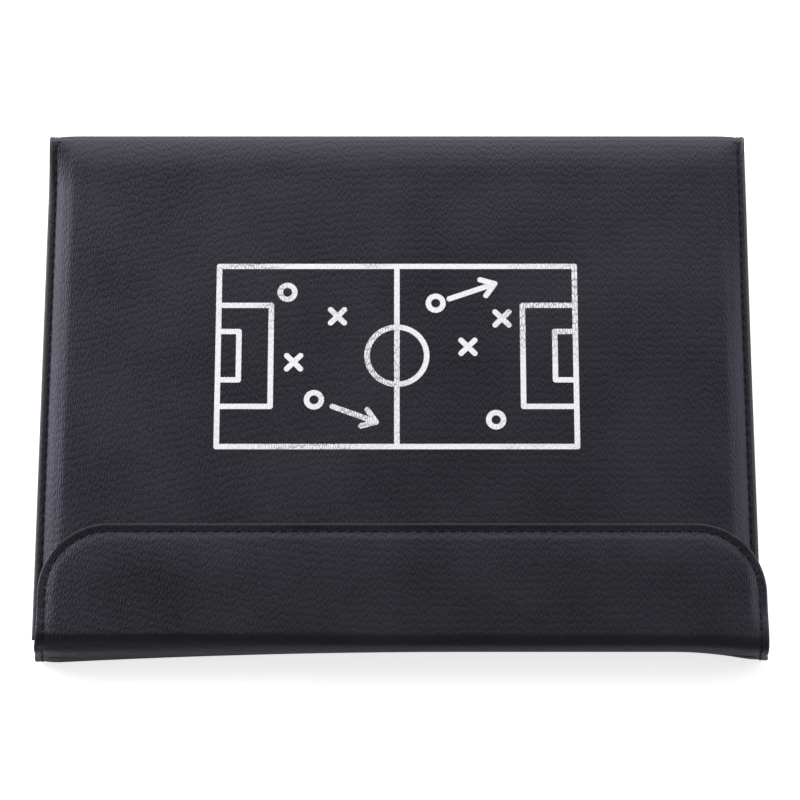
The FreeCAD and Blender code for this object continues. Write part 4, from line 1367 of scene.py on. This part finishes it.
# Marker pen: a white moulded barrel with a black cap and tail plug, a felt nib fed by a fibre reservoir, and
# a felt eraser pad glued on the cap's end.

white_plastic = plain_material(
    "white_plastic", (0.78, 0.78, 0.76), (0.84, 0.84, 0.83),
    scale=300, roughness=(0.25, 0.38), relief=0.00002
)
black_plastic = plain_material(
    "black_plastic", (0.012, 0.012, 0.014), (0.020, 0.020, 0.023),
    scale=300, roughness=(0.25, 0.42), relief=0.00002
)
pressed_felt = plain_material(
    "pressed_felt", (0.018, 0.018, 0.020), (0.060, 0.060, 0.064),
    scale=2600, roughness=(0.9, 1.0), relief=0.0004
)
finish_nodes(["pen_barrel"], white_plastic)
finish_nodes(["pen_cap", "pen_end_plug"], black_plastic)
finish_nodes(["cap_eraser", "pen_nib", "pen_reservoir"], pressed_felt)

# Player discs: moulded plastic over a magnet, red for one side and blue for the other, each with a printed
# white ring and its number, and a small white disc for the ball.

disc_colours = {
    "home": ("red_plastic", (0.56, 0.020, 0.022), (0.64, 0.030, 0.030)),
    "away": ("blue_plastic", (0.016, 0.085, 0.44), (0.024, 0.110, 0.52)),
}
disc_finishes = {
    side: plain_material(
        *colours, scale=350, roughness=(0.30, 0.44), relief=0.00003, constants={"Specular IOR Level": 0.25}
    )
    for side, colours in disc_colours.items()
}
white_ink = plain_material(
    "white_ink", (0.78, 0.78, 0.77), (0.85, 0.85, 0.84),
    scale=900, roughness=(0.4, 0.55), relief=0.00001
)
ink_thick = 0.00006
ring_radii = (0.0072, 0.0078)
number_height = 0.0105
ring_turn = np.linspace(0, 2 * np.pi, num=48, endpoint=False)


def ring_mesh():
    """A flat printed ring: a rectangle's four corners carried round a circle."""
    radius = np.repeat(ring_radii, 2)
    level = (ink_thick, 0, 0, ink_thick)
    points = np.stack([
        radius[None] * np.cos(ring_turn)[:, None],
        radius[None] * np.sin(ring_turn)[:, None],
        np.broadcast_to(level, (len(ring_turn), 4)),
    ], axis=-1)
    step, side = np.meshgrid(np.arange(len(ring_turn)), np.arange(4), indexing="ij")
    onward, beside = (step + 1) % len(ring_turn), (side + 1) % 4
    corners = [step * 4 + side, step * 4 + beside, onward * 4 + beside, onward * 4 + side]
    return quad_mesh("printed_ring", points.reshape(-1, 3), np.stack(corners, axis=-1).reshape(-1, 4))


def number_mesh(number):
    """A number as a thin flat solid about its own middle."""
    curve = bpy.data.curves.new("number", "FONT")
    curve.body = str(number)
    curve.size = number_height
    curve.align_x, curve.align_y = "CENTER", "CENTER"
    curve.extrude = ink_thick / 2
    text = link_object("number", curve)
    bpy.context.view_layer.update()
    mesh = bpy.data.meshes.new_from_object(text.evaluated_get(bpy.context.evaluated_depsgraph_get()))
    bpy.data.objects.remove(text)
    mesh.transform(Matrix.Translation((0, 0, ink_thick / 2)))
    return mesh


printed_ring = ring_mesh()
for number in range(1, 12):
    face = bmesh.new()
    face.from_mesh(printed_ring)
    face.from_mesh(number_mesh(number))
    for side, turn in (("home", 0.0), ("away", np.pi)):
        name = f"{side}_magnet_{number}"
        low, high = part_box(name)
        level = high.z if side == "home" else low.z
        mesh = bpy.data.meshes.new(f"{side}_mark_{number}")
        face.to_mesh(mesh)
        middle = Vector(((low.x + high.x) / 2, (low.y + high.y) / 2, level))
        mesh.transform(Matrix.Translation(middle) @ Matrix.Rotation(turn, 4, "X"))
        mesh.materials.clear()
        mesh.materials.append(white_ink)
        mark = link_object(mesh.name, mesh)
        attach(mark, f"{side}_disc_{number}")
        finish_nodes([name], disc_finishes[side])
    face.free()
finish_nodes(["ball_magnet"], white_plastic)
